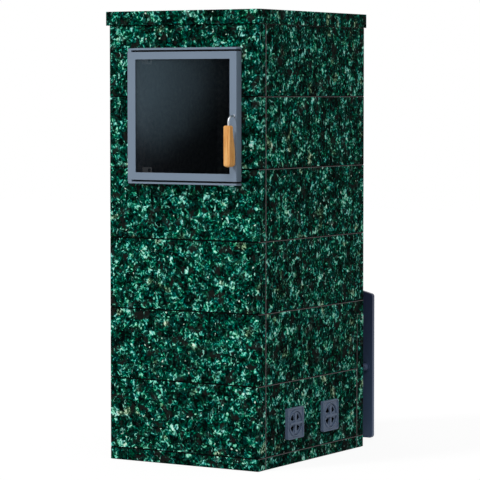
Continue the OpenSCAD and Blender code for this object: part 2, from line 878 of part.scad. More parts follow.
// Cast frame of a vent. It lies on z = 0 and its spigot reaches down into the wall.
module vent_frame() {
  rim_w = 4;
  seat_w = 4;
  disc_gap = 1;
  spigot_t = 1.5;
  spigot_len = 30;
  full_h = vent_t + vent_rim;
  color(steel_blue) {
    difference() {
      union() {
        difference() {
          rounded_square(vent_size, vent_corner, full_h);
          translate([0, 0, vent_t])
            rounded_square(vent_size - 2 * rim_w, vent_corner - rim_w / 2, vent_rim + over);
        }
        cylinder(h = full_h, r = damper_r + seat_w);
        translate([0, 0, -spigot_len]) cylinder(h = spigot_len + over, r = spigot_r);
      }
      translate([0, 0, vent_floor_t]) cylinder(h = full_h, r = damper_r + disc_gap);
      translate([0, 0, -spigot_len - over])
        cylinder(h = spigot_len + over, r = spigot_r - spigot_t);
      translate([0, 0, -over]) windows(vent_floor_t + 2 * over);
    }
    cylinder(h = vent_floor_t + stud_h, r = stud_r);
  }
}

// Damper disc with its four windows, a grip bar across and a short rib on each side of it
module vent_damper() {
  disc_t = 2.5;
  rib_t = 5;
  rib_half = 5;
  rib_len = 29;
  hub_r = 6.5;
  bar_top = 12;
  bar_half = damper_r - bar_w / 2 - 1;
  low = vent_floor_t + gap;
  color(steel_blue)
  difference() {
    union() {
      translate([0, 0, low]) cylinder(h = disc_t, r = damper_r);
      translate([0, 0, low]) cylinder(h = bar_top - low - 1, r = hub_r);
      for (s = [-1, 1]) {
        translate([0, s * bar_half, low]) cylinder(h = bar_top - low, r = bar_w / 2);
        translate([s > 0 ? 0 : -rib_len, -rib_half, low]) cube([rib_len, 2 * rib_half, rib_t]);
      }
      translate([-bar_w / 2, -bar_half, low]) cube([bar_w, 2 * bar_half, bar_top - low]);
    }
    translate([0, 0, low - over]) windows(disc_t + 1.5 * over);
    translate([0, 0, low - over]) cylinder(h = stud_h + over, r = stud_r + play);
  }
}

// Places a vent piece on the outer face of a side wall, by the index of its name
module at_vent(i)
  mirror([i < 2 ? 0 : 1, 0, 0])
    translate([half_w, i % 2 == 0 ? vent_front_y : vent_rear_y, vent_z]) rotate([0, 90, 0]) children();

// Rectangular duct from the steel body through the wall to the portal plate
module fuel_channel() {
  x = channel_x;
  rx = channel_room_x;
  f = 12;
  top_f = 10;
  color(steel_raw) {
    difference() {
      union() {
        block([-x, shell_y, shell_foot], [x, portal_y, channel_top]);
        block([-x - f, shell_y, shell_foot], [x + f, shell_y + channel_t, channel_top + top_f]);
        block([-x - f, portal_y - channel_t, shell_foot - f], [x + f, portal_y, channel_top + f]);
      }
      block([-rx, shell_y - over, room_z], [rx, portal_y + over, channel_top - channel_t]);
    }
    block([-rx, shell_y, shelf_z], [rx, portal_y, hearth_z]);
  }
}

// Outline of the portal plate, drawn in by m all round: straight sides, an arched top, rounded corners
module portal_outline(m) {
  half = portal_w / 2 - m;
  low = portal_z + m;
  r = max(1, portal_corner - m);
  crown = portal_side_z + portal_rise;
  arch_r = (pow(portal_w / 2, 2) + pow(portal_rise, 2)) / (2 * portal_rise) - m;
  arch_z = crown - m - arch_r;
  corner_z = arch_z + sqrt(pow(arch_r - r, 2) - pow(half - r, 2));
  touch = (half - r) * arch_r / (arch_r - r);
  translate([-half, low + r]) square([2 * half, corner_z - low - r]);
  translate([-half + r, low]) square([2 * (half - r), 2 * r]);
  intersection() {
    translate([0, arch_z]) circle(r = arch_r, $fn = 180);
    translate([-touch, low + r]) square([2 * touch, crown - low]);
  }
  for (x = [-1, 1], z = [low + r, corner_z])
    translate([x * (half - r), z]) circle(r = r);
}

// Turns an outline in X and Z into a plate between y[0] and y[1]
module plate_of(y)
  translate([0, y[1], 0]) rotate([90, 0, 0]) linear_extrude(y[1] - y[0]) children();

// Cast plate with a raised rim, both openings and the hinge lugs with their pins
module portal_plate() {
  rim_w = 6;
  bolt_play = 0.2;
  drawer_side = 3;
  drawer_above = 4;
  drawer_below = 0.5;
  pin_short = 3;
  rim_y = portal_y + portal_rim;
  color(portal_navy) {
    difference() {
      union() {
        plate_of([portal_y, plate_y]) portal_outline(0);
        difference() {
          plate_of([plate_y, rim_y]) portal_outline(0);
          plate_of([plate_y - over, rim_y + over]) portal_outline(rim_w);
        }
      }
      block([-fuel_x, portal_y - over, fuel_z[0]], [fuel_x, plate_y + over, fuel_z[1]]);
      block([-drawer_x - drawer_side, portal_y - over, room_z - drawer_below],
            [drawer_x + drawer_side, plate_y + over, drawer_top + drawer_above]);
      for (x = [-bolt_x, bolt_x])
        translate([x, 0, bolt_z]) rod_y(plate_y + over, portal_t + 2 * over, bolt_r + bolt_play);
    }
    for (z = hinge_z)
      translate([hinge_x, hinge_y, z - knuckle_h]) {
        cylinder(h = knuckle_h - gap, r = hinge_r);
        cylinder(h = 2 * knuckle_h - pin_short, r = hinge_pin_r);
        translate([-hinge_r, plate_y - hinge_y, 0]) cube([2 * hinge_r, hinge_y - plate_y, knuckle_h - gap]);
      }
  }
}

// Wall bolts with a dome on the stove's side and a hexagon head on the room's side
module portal_bolts() {
  washer_r = 15;
  washer_t = 3;
  dome_r = 12;
  head_h = 6;
  head_r = 9;
  past = 2;
  dome_y = portal_y - 2 * washer_t;
  color(steel_raw)
  for (x = [-bolt_x, bolt_x])
    translate([x, 0, bolt_z]) {
      rod_y(plate_y + head_h, head_h + portal_t + past, bolt_r);
      rod_y(portal_y, washer_t, washer_r);
      rod_y(portal_y - washer_t, washer_t, dome_r);
      intersection() {
        translate([0, dome_y, 0]) sphere(r = dome_r);
        rod_y(dome_y, dome_r, dome_r);
      }
      translate([0, plate_y + head_h, 0]) rotate([90, 0, 0]) cylinder(h = head_h, r = head_r, $fn = 6);
    }
}

// Cast leaf with the window in a shallow recess, the pocket for the glass and the hinge knuckles
module fuel_door() {
  recess_w = 9;
  recess_t = 2;
  color(iron_dark)
  difference() {
    union() {
      block([-leaf_x, leaf_y, leaf_z[0]], [leaf_x, leaf_front, leaf_z[1]]);
      for (z = hinge_z) {
        translate([hinge_x, hinge_y, z]) cylinder(h = knuckle_h, r = hinge_r);
        block([leaf_x - over, leaf_y, z], [hinge_x, leaf_y + hinge_r, z + knuckle_h]);
      }
    }
    block([-window_x, leaf_y - over, window_z[0]], [window_x, leaf_front + over, window_z[1]]);
    block([-window_x - recess_w, leaf_front - recess_t, window_z[0] - recess_w],
          [window_x + recess_w, leaf_front + over, window_z[1] + recess_w]);
    block([-window_x - glass_lap, leaf_y - over, window_z[0] - glass_lap],
          [window_x + glass_lap, leaf_y + fuel_glass_t, window_z[1] + glass_lap]);
    for (z = hinge_z)
      translate([hinge_x, hinge_y, z - over]) cylinder(h = knuckle_h + 2 * over, r = hinge_pin_r + play);
    translate([fuel_handle_x, 0, fuel_handle_z])
      rod_y(leaf_front + over, fuel_t + 2 * over, rod_r + play);
  }
}

module fuel_glass()
  color(glass_dark, 0.6)
  block([-window_x - glass_lap + gap, leaf_y, window_z[0] - glass_lap + gap],
        [window_x + glass_lap - gap, leaf_y + fuel_glass_t, window_z[1] + glass_lap - gap]);

// Fibre rope between the leaf and the portal plate, just outside the fuel opening
module fuel_gasket() {
  in = 2;
  out = in + gasket_w;
  color(rope_dark)
  ring_plate([-fuel_x - out, fuel_x + out], [fuel_z[0] - out, fuel_z[1] + out],
             [-fuel_x - in, fuel_x + in], [fuel_z[0] - in, fuel_z[1] + in], [plate_y + gap, leaf_y]);
}

module at_fuel_handle()
  translate([fuel_handle_x, leaf_front, fuel_handle_z]) rotate([0, 0, 180]) children();

module fuel_handle_rod()
  at_fuel_handle() handle_rod(fuel_t + gap + cam_t, fuel_handle_in - cam_gap, 1);

module fuel_grip() at_fuel_handle() wood_grip();

// Two rails that hold the air slide, each with a lip in front of it
module slide_rails() {
  rail_h = 5;
  lip_t = 1.5;
  lip_lap = 2;
  low = drawer_front + front_t;
  lip_y = low + slide_t + 2 * gap;
  for (s = [0, 1])
    translate([0, 0, slide_z]) mirror([0, 0, s]) {
      block([-drawer_x, low, slide_half + gap], [drawer_x, lip_y + lip_t, slide_half + gap + rail_h]);
      block([-drawer_x, lip_y, slide_half - lip_lap],
            [drawer_x, lip_y + lip_t, slide_half + gap + rail_h]);
    }
}

// Three air slots between two planes of y
module air_slots(y)
  for (i = [-1:1])
    block([i * slot_pitch - slot_len / 2, y[0] - over, slide_z - slot_h / 2],
          [i * slot_pitch + slot_len / 2, y[1] + over, slide_z + slot_h / 2]);

// Drawer of folded sheets with an open top, and its front with the air slots and the rails of the slide
module ash_drawer() {
  t = drawer_t;
  x = drawer_x;
  front_lap = 10;
  back = drawer_front - drawer_len;
  side_z = drawer_z + t + seam;
  side_end = drawer_front - seam;
  front = [drawer_front, drawer_front + front_t];
  color(iron_dark) {
    block([-x, back, drawer_z], [x, side_end, drawer_z + t]);
    for (side = [-x, x - t])
      block([side, back, side_z], [side + t, side_end, drawer_top]);
    block([-x + t + seam, back, side_z], [x - t - seam, back + t, drawer_top]);
    difference() {
      union() {
        block([-x - front_lap, front[0], drawer_z - front_lap],
              [x + front_lap, front[1], drawer_top + front_lap]);
        slide_rails();
      }
      air_slots(front);
    }
  }
}

// Slotted plate that opens and closes the drawer's air slots, with its knob
// It closes half a pitch to the right, so it is longer on the left, where it still covers the last slot.
module air_slide() {
  end_w = 12;
  closed_lap = 6;
  stem_r = 4;
  stem_len = 16;
  knob_r = 9;
  knob_len = 12;
  knob_out = 26;
  low = drawer_front + front_t + gap;
  high = low + slide_t;
  left = -1.5 * slot_pitch - slot_len / 2 - closed_lap;
  right = slot_pitch + slot_len / 2 + end_w;
  color(steel_raw) {
    difference() {
      block([left, low, slide_z - slide_half], [right, high, slide_z + slide_half]);
      air_slots([low, high]);
    }
    translate([-slot_pitch / 2, 0, slide_z]) {
      rod_y(high + stem_len, stem_len + slide_t / 2, stem_r);
      rod_y(high + knob_out, knob_len, knob_r);
    }
  }
}

cap_slab();
plinth_strips();
for (i = [1:4])
  front_slab(i);
front_jamb_left();
front_jamb_right();
front_jamb_top();
front_lintel();
for (i = [1:course_count]) {
  right_slab(i);
  left_slab(i);
}
rear_jamb_left();
rear_jamb_right();
rear_lintel();
rear_slabs();
stove_body();
firebricks();
fire_grate();
stone_chamber();
heater_stones();
flue_socket();
levelling_feet();
corner_angles();
steam_frame();
steam_door();
steam_glass();
glass_retainer();
retainer_screws();
steam_gasket();
steam_handle_rod();
steam_grip();
for (i = [0:3]) {
  at_vent(i) vent_frame();
  at_vent(i) vent_damper();
}
fuel_channel();
portal_plate();
portal_bolts();
fuel_door();
fuel_glass();
fuel_gasket();
fuel_handle_rod();
fuel_grip();
ash_drawer();
air_slide();
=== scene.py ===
import json
import math
import random

import bmesh
import bpy
from mathutils import Matrix, Vector


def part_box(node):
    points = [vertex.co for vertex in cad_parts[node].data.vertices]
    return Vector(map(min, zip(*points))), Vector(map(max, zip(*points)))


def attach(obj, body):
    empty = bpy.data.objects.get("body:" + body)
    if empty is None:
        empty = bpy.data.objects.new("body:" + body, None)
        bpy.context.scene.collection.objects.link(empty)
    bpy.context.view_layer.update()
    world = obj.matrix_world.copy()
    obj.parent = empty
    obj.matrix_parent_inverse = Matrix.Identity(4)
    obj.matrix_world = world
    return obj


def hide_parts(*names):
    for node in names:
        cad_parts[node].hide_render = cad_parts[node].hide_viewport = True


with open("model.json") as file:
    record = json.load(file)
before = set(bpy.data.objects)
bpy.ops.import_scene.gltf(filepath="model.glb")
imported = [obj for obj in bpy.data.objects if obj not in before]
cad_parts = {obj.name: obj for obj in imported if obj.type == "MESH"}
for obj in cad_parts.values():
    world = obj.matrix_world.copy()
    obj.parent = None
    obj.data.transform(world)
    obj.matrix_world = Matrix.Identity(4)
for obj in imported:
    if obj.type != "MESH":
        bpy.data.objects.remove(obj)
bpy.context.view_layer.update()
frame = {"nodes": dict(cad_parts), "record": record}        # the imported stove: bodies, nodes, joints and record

scene = bpy.context.scene
scene.view_settings.view_transform = "Standard"
nodes = frame["nodes"]
bodyOf = {node: body for body, names in frame["record"]["behaviour"]["bodies"].items() for node in names}
slotOf = {row["node"]: row["material_slot"] for row in frame["record"]["subparts"]}
print("frame loaded with", len(nodes), "nodes")


def addObject(name, data):
    made = bpy.data.objects.new(name, data)
    scene.collection.objects.link(made)
    return made


# From the stove toward a place so many degrees to the right of the steam door's normal, and so many up
def direction(azimuth, elevation):
    a, e = math.radians(azimuth), math.radians(elevation)
    return Vector((math.sin(a) * math.cos(e), -math.cos(a) * math.cos(e), math.sin(e)))


# Camera, matched to the edges of the stone body in the photograph
photoCamera = {
    "azimuth": 31.665,                  # degrees to the right of the steam door's normal
    "elevation": 3.337,                 # degrees by which the camera looks down
    "place": (3.8784, -6.2829, 1.0624),  # metres from the middle of the footprint
    "lensMm": 187.6,
    "sensorMm": 36.0,
    "clip": (0.1, 80),                  # nearest and farthest metre that it shows
}


def makeCamera(s):
    data = bpy.data.cameras.new("photoCamera")
    data.lens, data.sensor_width = s["lensMm"], s["sensorMm"]
    data.clip_start, data.clip_end = s["clip"]
    a = math.radians(s["azimuth"])
    back = direction(s["azimuth"], s["elevation"])
    right = Vector((math.cos(a), math.sin(a), 0))
    turn = Matrix((right, back.cross(right), back)).transposed().to_4x4()
    camera = addObject("photoCamera", data)
    camera.matrix_world = Matrix.Translation(s["place"]) @ turn
    scene.camera = camera


makeCamera(photoCamera)
print("camera placed")


# The curve from sRGB to linear light
def toLinear(c):
    return c / 12.92 if c <= 0.04045 else ((c + 0.055) / 1.055) ** 2.4


def hexColor(text):
    return (*[toLinear(int(text[i:i + 2], 16) / 255) for i in (1, 3, 5)], 1.0)


def perMetre(sizeMm):
    return 1000 / sizeMm       # how many grains of that size make a metre


def addNode(tree, kind, links=None, stops=None, **settings):
    node = tree.nodes.new(kind)
    for name, value in settings.items():
        setattr(node, name, value)
    if stops:
        elements = node.color_ramp.elements
        while len(elements) < len(stops):
            elements.new(1.0)
        for element, (place, color) in zip(elements, stops):
            element.position = place
            element.color = hexColor(color)
    for name, value in (links or {}).items():
        if isinstance(value, bpy.types.NodeSocket):
            tree.links.new(value, node.inputs[name])
        else:
            node.inputs[name].default_value = value
    return node


# Noise that is narrow across x and y and long along z, after a turn given in degrees about x and y
def longNoise(tree, vector, sizesMm, detail, turn=(0, 0), shape=None):
    across, along = sizesMm
    mapped = addNode(tree, "ShaderNodeMapping",
                     links={"Vector": vector, "Rotation": (*[math.radians(t) for t in turn], 0),
                            "Scale": (perMetre(across), perMetre(across), perMetre(along))}).outputs[0]
    links = {"Vector": mapped, "Scale": 1.0, "Detail": detail, **(shape or {})}
    return addNode(tree, "ShaderNodeTexNoise", links=links).outputs["Fac"]


def emptyTree(owner):
    owner.use_nodes = True
    owner.node_tree.nodes.clear()
    return owner.node_tree


def newMaterial(name):
    material = bpy.data.materials.new(name)
    tree = emptyTree(material)
    return material, tree, addNode(tree, "ShaderNodeTexCoord").outputs["Object"]


def finishMaterial(tree, surface):
    shader = addNode(tree, "ShaderNodeBsdfPrincipled", links=surface)
    addNode(tree, "ShaderNodeOutputMaterial", links={"Surface": shader.outputs[0]})


# Polished serpentine: a near black ground full of green grains, with pale knots and cream sparks
# The polish is even, so that the pattern is all in the colour. The chamfers along the joints carry painted shade,
# and a painted highlight where a side wall's chamfer faces up and to the front
stoneLook = {
    # size in mm, share and noise detail of grain, knot and cloud
    "grain": (8.0, 0.52, 1.5),
    "knot": (30.0, 0.41, 1.5),
    "cloud": (80.0, 0.07, 1.0),
    "grainShape": {"Roughness": 0.6, "Distortion": 0.4},
    "warpMm": 4.0,                      # how far the pattern is pushed about
    "warpSizeMm": 14,
    "warpGain": 4,                      # raises the noise, which stays well within 0.5 of its middle
    "slabShift": (0.37, 1.9, 0.83),     # metres for each course, for a side wall and for all behind the front
    "courseMm": 204.0,
    "plinthMm": 36.0,
    "slabMm": 40.0,
    "halfWidthMm": 252.5,
    "halfDepthMm": 305.0,
    "ramp": [(0.36, "#040909"), (0.395, "#020807"), (0.42, "#040f0c"), (0.45, "#061a16"),
             (0.476, "#092620"), (0.49, "#0b2b24"), (0.502, "#0e3129"), (0.514, "#10382f"),
             (0.524, "#123f35"), (0.535, "#16493d"), (0.545, "#1b5648"), (0.554, "#226353"),
             (0.565, "#2c7463"), (0.575, "#3a8876"), (0.586, "#54a391"), (0.603, "#78c7b4"),
             (0.65, "#b4ebdc"), (0.7, "#e0f6ee")],
    "hueMm": 18.0,
    "hueRange": {"From Min": 0.3, "From Max": 0.7, "To Min": 0.46, "To Max": 0.53},
    "pureRange": {"From Min": 0.3, "From Max": 0.7, "To Min": 0.95, "To Max": 1.3},
    "oliveMm": 60.0,
    "oliveRange": {"From Min": 0.64, "From Max": 0.72, "To Max": 0.8},
    "oliveRamp": [(0.40, "#0e0e0c"), (0.475, "#0f1811"), (0.50, "#182a1e"), (0.53, "#2c4833"),
                  (0.56, "#587354"), (0.60, "#93a97e"), (0.66, "#dfe8cc")],
    "groundMm": 34.0,
    "groundRange": {"From Min": 0.43, "From Max": 0.37, "To Max": 0.86},
    "groundColor": "#1a1a19",
    "streakMm": (6.0, 30.0),            # width and length of the pale streaks
    "streakDetail": 1.0,
    "streakTurn": (20, 38.0),           # degrees about x and y
    "streakRange": {"From Min": 0.70, "From Max": 0.78},
    "streakColor": "#8fdcc8",
    "sparkMm": 15.0,
    # distances from a cell's middle where a spark ends and where it is full
    "sparkRange": {"From Min": 0.20, "From Max": 0.12},
    "sparkRarity": 0.92,                # share of the cells without a spark
    "sparkColor": "#c9e6d3",
    "jointLean": 0.4,                   # how far a normal leans toward an axis to count for it
    "jointLit": 0.4,                    # how far it leans up and to the front to get the painted highlight
    "jointMiddle": 0.63,                # middle and half of the height that has joints, in metres
    "jointHalf": 0.6295,
    # joint colours: painted shade in the grooves, and a painted highlight on side-wall chamfers that face up and
    # to the front
    "frontJoint": "#0a0c0b",
    "sideJoint": "#6d6869",
    "polish": {"Roughness": 0.25, "Specular IOR Level": 0.002},
}


# Chamfers along the joints: their normals lean between two axes. The outer corners are left plain. The chamfers
# are painted black as painted shade in the grooves, and pale grey as a painted highlight where a side wall's
# chamfer leans up and to the front.
def drawJoints(tree, s, axes, color):
    normal = addNode(tree, "ShaderNodeNewGeometry").outputs["Normal"]
    signed = addNode(tree, "ShaderNodeSeparateXYZ", links={0: normal}).outputs
    absNormal = addNode(tree, "ShaderNodeVectorMath", operation="ABSOLUTE", links={0: normal}).outputs[0]
    lean = addNode(tree, "ShaderNodeSeparateXYZ", links={0: absNormal}).outputs
    high = [addNode(tree, "ShaderNodeMath", operation="GREATER_THAN",
                    links={0: part, 1: s["jointLean"]}).outputs[0] for part in lean]
    absY = addNode(tree, "ShaderNodeMath", operation="ABSOLUTE", links={0: axes[1]}).outputs[0]
    between = addNode(tree, "ShaderNodeMath", operation="LESS_THAN",
                      links={0: absY, 1: (s["halfDepthMm"] - s["slabMm"] / 2) / 1000}).outputs[0]
    fromMiddle = addNode(tree, "ShaderNodeMath", operation="SUBTRACT",
                         links={0: axes[2], 1: s["jointMiddle"]}).outputs[0]
    fromMiddle = addNode(tree, "ShaderNodeMath", operation="ABSOLUTE", links={0: fromMiddle}).outputs[0]
    jointed = addNode(tree, "ShaderNodeMath", operation="LESS_THAN",
                      links={0: fromMiddle, 1: s["jointHalf"]}).outputs[0]
    frontJoint = addNode(tree, "ShaderNodeMath", operation="MULTIPLY",
                         links={0: high[1], 1: high[2]}).outputs[0]
    upright = addNode(tree, "ShaderNodeMath", operation="MULTIPLY",
                      links={0: high[1], 1: between}).outputs[0]
    sideLean = addNode(tree, "ShaderNodeMath", operation="MAXIMUM",
                       links={0: upright, 1: high[2]}).outputs[0]
    sideJoint = addNode(tree, "ShaderNodeMath", operation="MULTIPLY",
                        links={0: high[0], 1: sideLean}).outputs[0]
    # the painted highlight goes where the normal leans up and to the front
    lit = addNode(tree, "ShaderNodeMath", operation="SUBTRACT",
                  links={0: signed[2], 1: signed[1]}).outputs[0]
    lit = addNode(tree, "ShaderNodeMath", operation="GREATER_THAN",
                  links={0: lit, 1: s["jointLit"]}).outputs[0]
    jointPaintedHighlight = addNode(tree, "ShaderNodeMath", operation="MULTIPLY",
                       links={0: sideJoint, 1: lit}).outputs[0]
    # painted shade on all jointed chamfers, then a painted highlight on the side-wall chamfers that face up and
    # to the front
    for mask, tone in ((frontJoint, s["frontJoint"]), (sideJoint, s["frontJoint"]),
                       (jointPaintedHighlight, s["sideJoint"])):
        mask = addNode(tree, "ShaderNodeMath", operation="MULTIPLY", links={0: mask, 1: jointed}).outputs[0]
        color = addNode(tree, "ShaderNodeMix", data_type="RGBA",
                        links={0: mask, 6: color, 7: hexColor(tone)}).outputs[2]
    return color


def polishedSerpentine(s):
    material, tree, place = newMaterial("polishedSerpentine")
    axes = addNode(tree, "ShaderNodeSeparateXYZ", links={0: place}).outputs
    absX = addNode(tree, "ShaderNodeMath", operation="ABSOLUTE", links={0: axes[0]}).outputs[0]
    # each slab is cut from another spot of the block: its course and its wall shift the pattern
    course = addNode(tree, "ShaderNodeMath", operation="MULTIPLY_ADD",
                     links={0: axes[2], 1: perMetre(s["courseMm"]),
                            2: -s["plinthMm"] / s["courseMm"]}).outputs[0]
    course = addNode(tree, "ShaderNodeMath", operation="FLOOR", links={0: course}).outputs[0]
    behindFront = addNode(tree, "ShaderNodeMath", operation="GREATER_THAN",
                          links={0: axes[1], 1: (s["slabMm"] - s["halfDepthMm"]) / 1000}).outputs[0]
    outside = addNode(tree, "ShaderNodeMath", operation="GREATER_THAN",
                      links={0: absX, 1: (s["halfWidthMm"] - s["slabMm"]) / 1000}).outputs[0]
    onSide = addNode(tree, "ShaderNodeMath", operation="MULTIPLY",
                     links={0: behindFront, 1: outside}).outputs[0]
    shift = addNode(tree, "ShaderNodeCombineXYZ", links={0: course, 1: onSide, 2: behindFront}).outputs[0]
    shift = addNode(tree, "ShaderNodeVectorMath", operation="MULTIPLY",
                    links={0: shift, 1: s["slabShift"]}).outputs[0]
    place = addNode(tree, "ShaderNodeVectorMath", operation="ADD", links={0: place, 1: shift}).outputs[0]
    warp = addNode(tree, "ShaderNodeTexNoise",
                   links={"Vector": place, "Scale": perMetre(s["warpSizeMm"]),
                          "Detail": 1.0}).outputs["Color"]
    warp = addNode(tree, "ShaderNodeVectorMath", operation="SUBTRACT",
                   links={0: warp, 1: (0.5, 0.5, 0.5)}).outputs[0]
    warped = addNode(tree, "ShaderNodeVectorMath", operation="MULTIPLY_ADD",
                     links={0: warp, 1: (s["warpGain"] * s["warpMm"] / 1000,) * 3, 2: place}).outputs[0]
    total = 0.0
    for (size, share, detail), spot in ((s["grain"], warped), (s["knot"], warped), (s["cloud"], place)):
        grains = addNode(tree, "ShaderNodeTexNoise",
                         links={"Vector": spot, "Scale": perMetre(size), "Detail": detail,
                                **s["grainShape"]}).outputs["Fac"]
        total = addNode(tree, "ShaderNodeMath", operation="MULTIPLY_ADD",
                        links={0: grains, 1: share, 2: total}).outputs[0]
    green = addNode(tree, "ShaderNodeValToRGB", links={0: total}, stops=s["ramp"]).outputs[0]
    # the green leans to teal in some grains and to moss in others, and pales in some
    tint = addNode(tree, "ShaderNodeTexNoise",
                   links={"Vector": warped, "Scale": perMetre(s["hueMm"]), "Detail": 2.0}).outputs["Color"]
    tint = addNode(tree, "ShaderNodeSeparateColor", links={0: tint}).outputs
    hue = addNode(tree, "ShaderNodeMapRange", links={"Value": tint[0], **s["hueRange"]}).outputs[0]
    pure = addNode(tree, "ShaderNodeMapRange", links={"Value": tint[1], **s["pureRange"]}).outputs[0]
    green = addNode(tree, "ShaderNodeHueSaturation",
                    links={"Hue": hue, "Saturation": pure, "Color": green}).outputs[0]
    olive = addNode(tree, "ShaderNodeValToRGB", links={0: total}, stops=s["oliveRamp"]).outputs[0]
    oliveSpots = addNode(tree, "ShaderNodeTexNoise",
                         links={"Vector": place, "Scale": perMetre(s["oliveMm"]),
                                "Detail": 1.0}).outputs["Fac"]
    oliveSpots = addNode(tree, "ShaderNodeMapRange", interpolation_type="SMOOTHSTEP",
                         links={"Value": oliveSpots, **s["oliveRange"]}).outputs[0]
    color = addNode(tree, "ShaderNodeMix", data_type="RGBA",
                    links={0: oliveSpots, 6: green, 7: olive}).outputs[2]
    # brown black patches where the green has not grown through
    ground = addNode(tree, "ShaderNodeTexNoise",
                     links={"Vector": warped, "Scale": perMetre(s["groundMm"]),
                            "Detail": 3.0}).outputs["Fac"]
    ground = addNode(tree, "ShaderNodeMapRange", interpolation_type="SMOOTHSTEP",
                     links={"Value": ground, **s["groundRange"]}).outputs[0]
    color = addNode(tree, "ShaderNodeMix", data_type="RGBA",
                    links={0: ground, 6: color, 7: hexColor(s["groundColor"])}).outputs[2]
    streak = longNoise(tree, warped, s["streakMm"], s["streakDetail"], s["streakTurn"])
    streak = addNode(tree, "ShaderNodeMapRange", links={"Value": streak, **s["streakRange"]}).outputs[0]
    color = addNode(tree, "ShaderNodeMix", data_type="RGBA",
                    links={0: streak, 6: color, 7: hexColor(s["streakColor"])}).outputs[2]
    cells = addNode(tree, "ShaderNodeTexVoronoi",
                    links={"Vector": warped, "Scale": perMetre(s["sparkMm"])}).outputs
    near = addNode(tree, "ShaderNodeMapRange",
                   links={"Value": cells["Distance"], **s["sparkRange"]}).outputs[0]
    chosen = addNode(tree, "ShaderNodeSeparateColor", links={0: cells["Color"]}).outputs[0]
    chosen = addNode(tree, "ShaderNodeMath", operation="GREATER_THAN",
                     links={0: chosen, 1: s["sparkRarity"]}).outputs[0]
    spark = addNode(tree, "ShaderNodeMath", operation="MULTIPLY", links={0: near, 1: chosen}).outputs[0]
    color = addNode(tree, "ShaderNodeMix", data_type="RGBA",
                    links={0: spark, 6: color, 7: hexColor(s["sparkColor"])}).outputs[2]
    color = drawJoints(tree, s, axes, color)
    finishMaterial(tree, {"Base Color": color, **s["polish"]})
    return material


# Powder coat and paints: an even colour with a faint orange peel from the coat, or sand grain from a casting
# The real peel is under 1 mm and is drawn at the size given so that it shows
paintFilm = {
    "cloudMm": 120,
    "cloudDetail": 3.0,
    "peelDetail": 2.0,
    "peelStrength": 0.5,
}


# Painted shade between two distances from a middle plane, behind a depth, and with a radius only round two points
def darkMask(tree, place, dark):
    axes = addNode(tree, "ShaderNodeSeparateXYZ", links={0: place}).outputs
    part = addNode(tree, "ShaderNodeMath", operation="SUBTRACT",
                   links={0: axes[dark["axis"]], 1: dark["middle"]}).outputs[0]
    part = addNode(tree, "ShaderNodeMath", operation="ABSOLUTE", links={0: part}).outputs[0]
    inner = addNode(tree, "ShaderNodeMath", operation="LESS_THAN",
                    links={0: part, 1: dark["far"]}).outputs[0]
    outer = addNode(tree, "ShaderNodeMath", operation="GREATER_THAN",
                    links={0: part, 1: dark["near"]}).outputs[0]
    deep = addNode(tree, "ShaderNodeMath", operation="GREATER_THAN",
                   links={0: axes[1], 1: dark["deep"]}).outputs[0]
    mask = addNode(tree, "ShaderNodeMath", operation="MULTIPLY", links={0: inner, 1: outer}).outputs[0]
    mask = addNode(tree, "ShaderNodeMath", operation="MULTIPLY", links={0: mask, 1: deep}).outputs[0]
    if "radius" in dark:
        away = addNode(tree, "ShaderNodeVectorMath", operation="SUBTRACT",
                       links={0: place, 1: dark["between"]}).outputs[0]
        away = addNode(tree, "ShaderNodeVectorMath", operation="ABSOLUTE", links={0: away}).outputs[0]
        away = addNode(tree, "ShaderNodeVectorMath", operation="SUBTRACT",
                       links={0: away, 1: dark["apart"]}).outputs[0]
        away = addNode(tree, "ShaderNodeVectorMath", operation="MULTIPLY",
                       links={0: away, 1: (0, 1, 1)}).outputs[0]
        away = addNode(tree, "ShaderNodeVectorMath", operation="LENGTH", links={0: away}).outputs["Value"]
        away = addNode(tree, "ShaderNodeMath", operation="LESS_THAN",
                       links={0: away, 1: dark["radius"]}).outputs[0]
        mask = addNode(tree, "ShaderNodeMath", operation="MULTIPLY", links={0: mask, 1: away}).outputs[0]
    return mask


def paintedMetal(name, color, grainMm, bumpMm, roughness, spread=0.08, dark=None, fade=None, sheen=0.3):
    s = paintFilm
    material, tree, place = newMaterial(name)
    cloud = addNode(tree, "ShaderNodeTexNoise",
                    links={"Vector": place, "Scale": perMetre(s["cloudMm"]),
                           "Detail": s["cloudDetail"]}).outputs["Fac"]
    tone = addNode(tree, "ShaderNodeMapRange",
                   links={"Value": cloud, "To Min": 1 - spread, "To Max": 1 + spread}).outputs[0]
    tone = addNode(tree, "ShaderNodeVectorMath", operation="SCALE",
                   links={0: hexColor(color)[:3], "Scale": tone}).outputs[0]
    # painted shade that changes with height
    if fade:
        height = addNode(tree, "ShaderNodeSeparateXYZ", links={0: place}).outputs[2]
        height = addNode(tree, "ShaderNodeMapRange",
                         links={"Value": height, "From Min": fade["low"],
                                "From Max": fade["high"]}).outputs[0]
        tone = addNode(tree, "ShaderNodeMix", data_type="RGBA",
                       links={0: height, 6: tone, 7: hexColor(fade["color"])}).outputs[2]
    # painted shade inside the mask
    if dark:
        mask = darkMask(tree, place, dark)
        tone = addNode(tree, "ShaderNodeMix", data_type="RGBA",
                       links={0: mask, 6: tone, 7: hexColor(dark["color"])}).outputs[2]
    peel = addNode(tree, "ShaderNodeTexNoise",
                   links={"Vector": place, "Scale": perMetre(grainMm),
                          "Detail": s["peelDetail"]}).outputs["Fac"]
    bump = addNode(tree, "ShaderNodeBump",
                   links={"Height": peel, "Strength": s["peelStrength"],
                          "Distance": bumpMm / 1000}).outputs[0]
    finishMaterial(tree, {"Base Color": tone, "Roughness": roughness, "Specular IOR Level": sheen,
                          "Normal": bump})
    return material


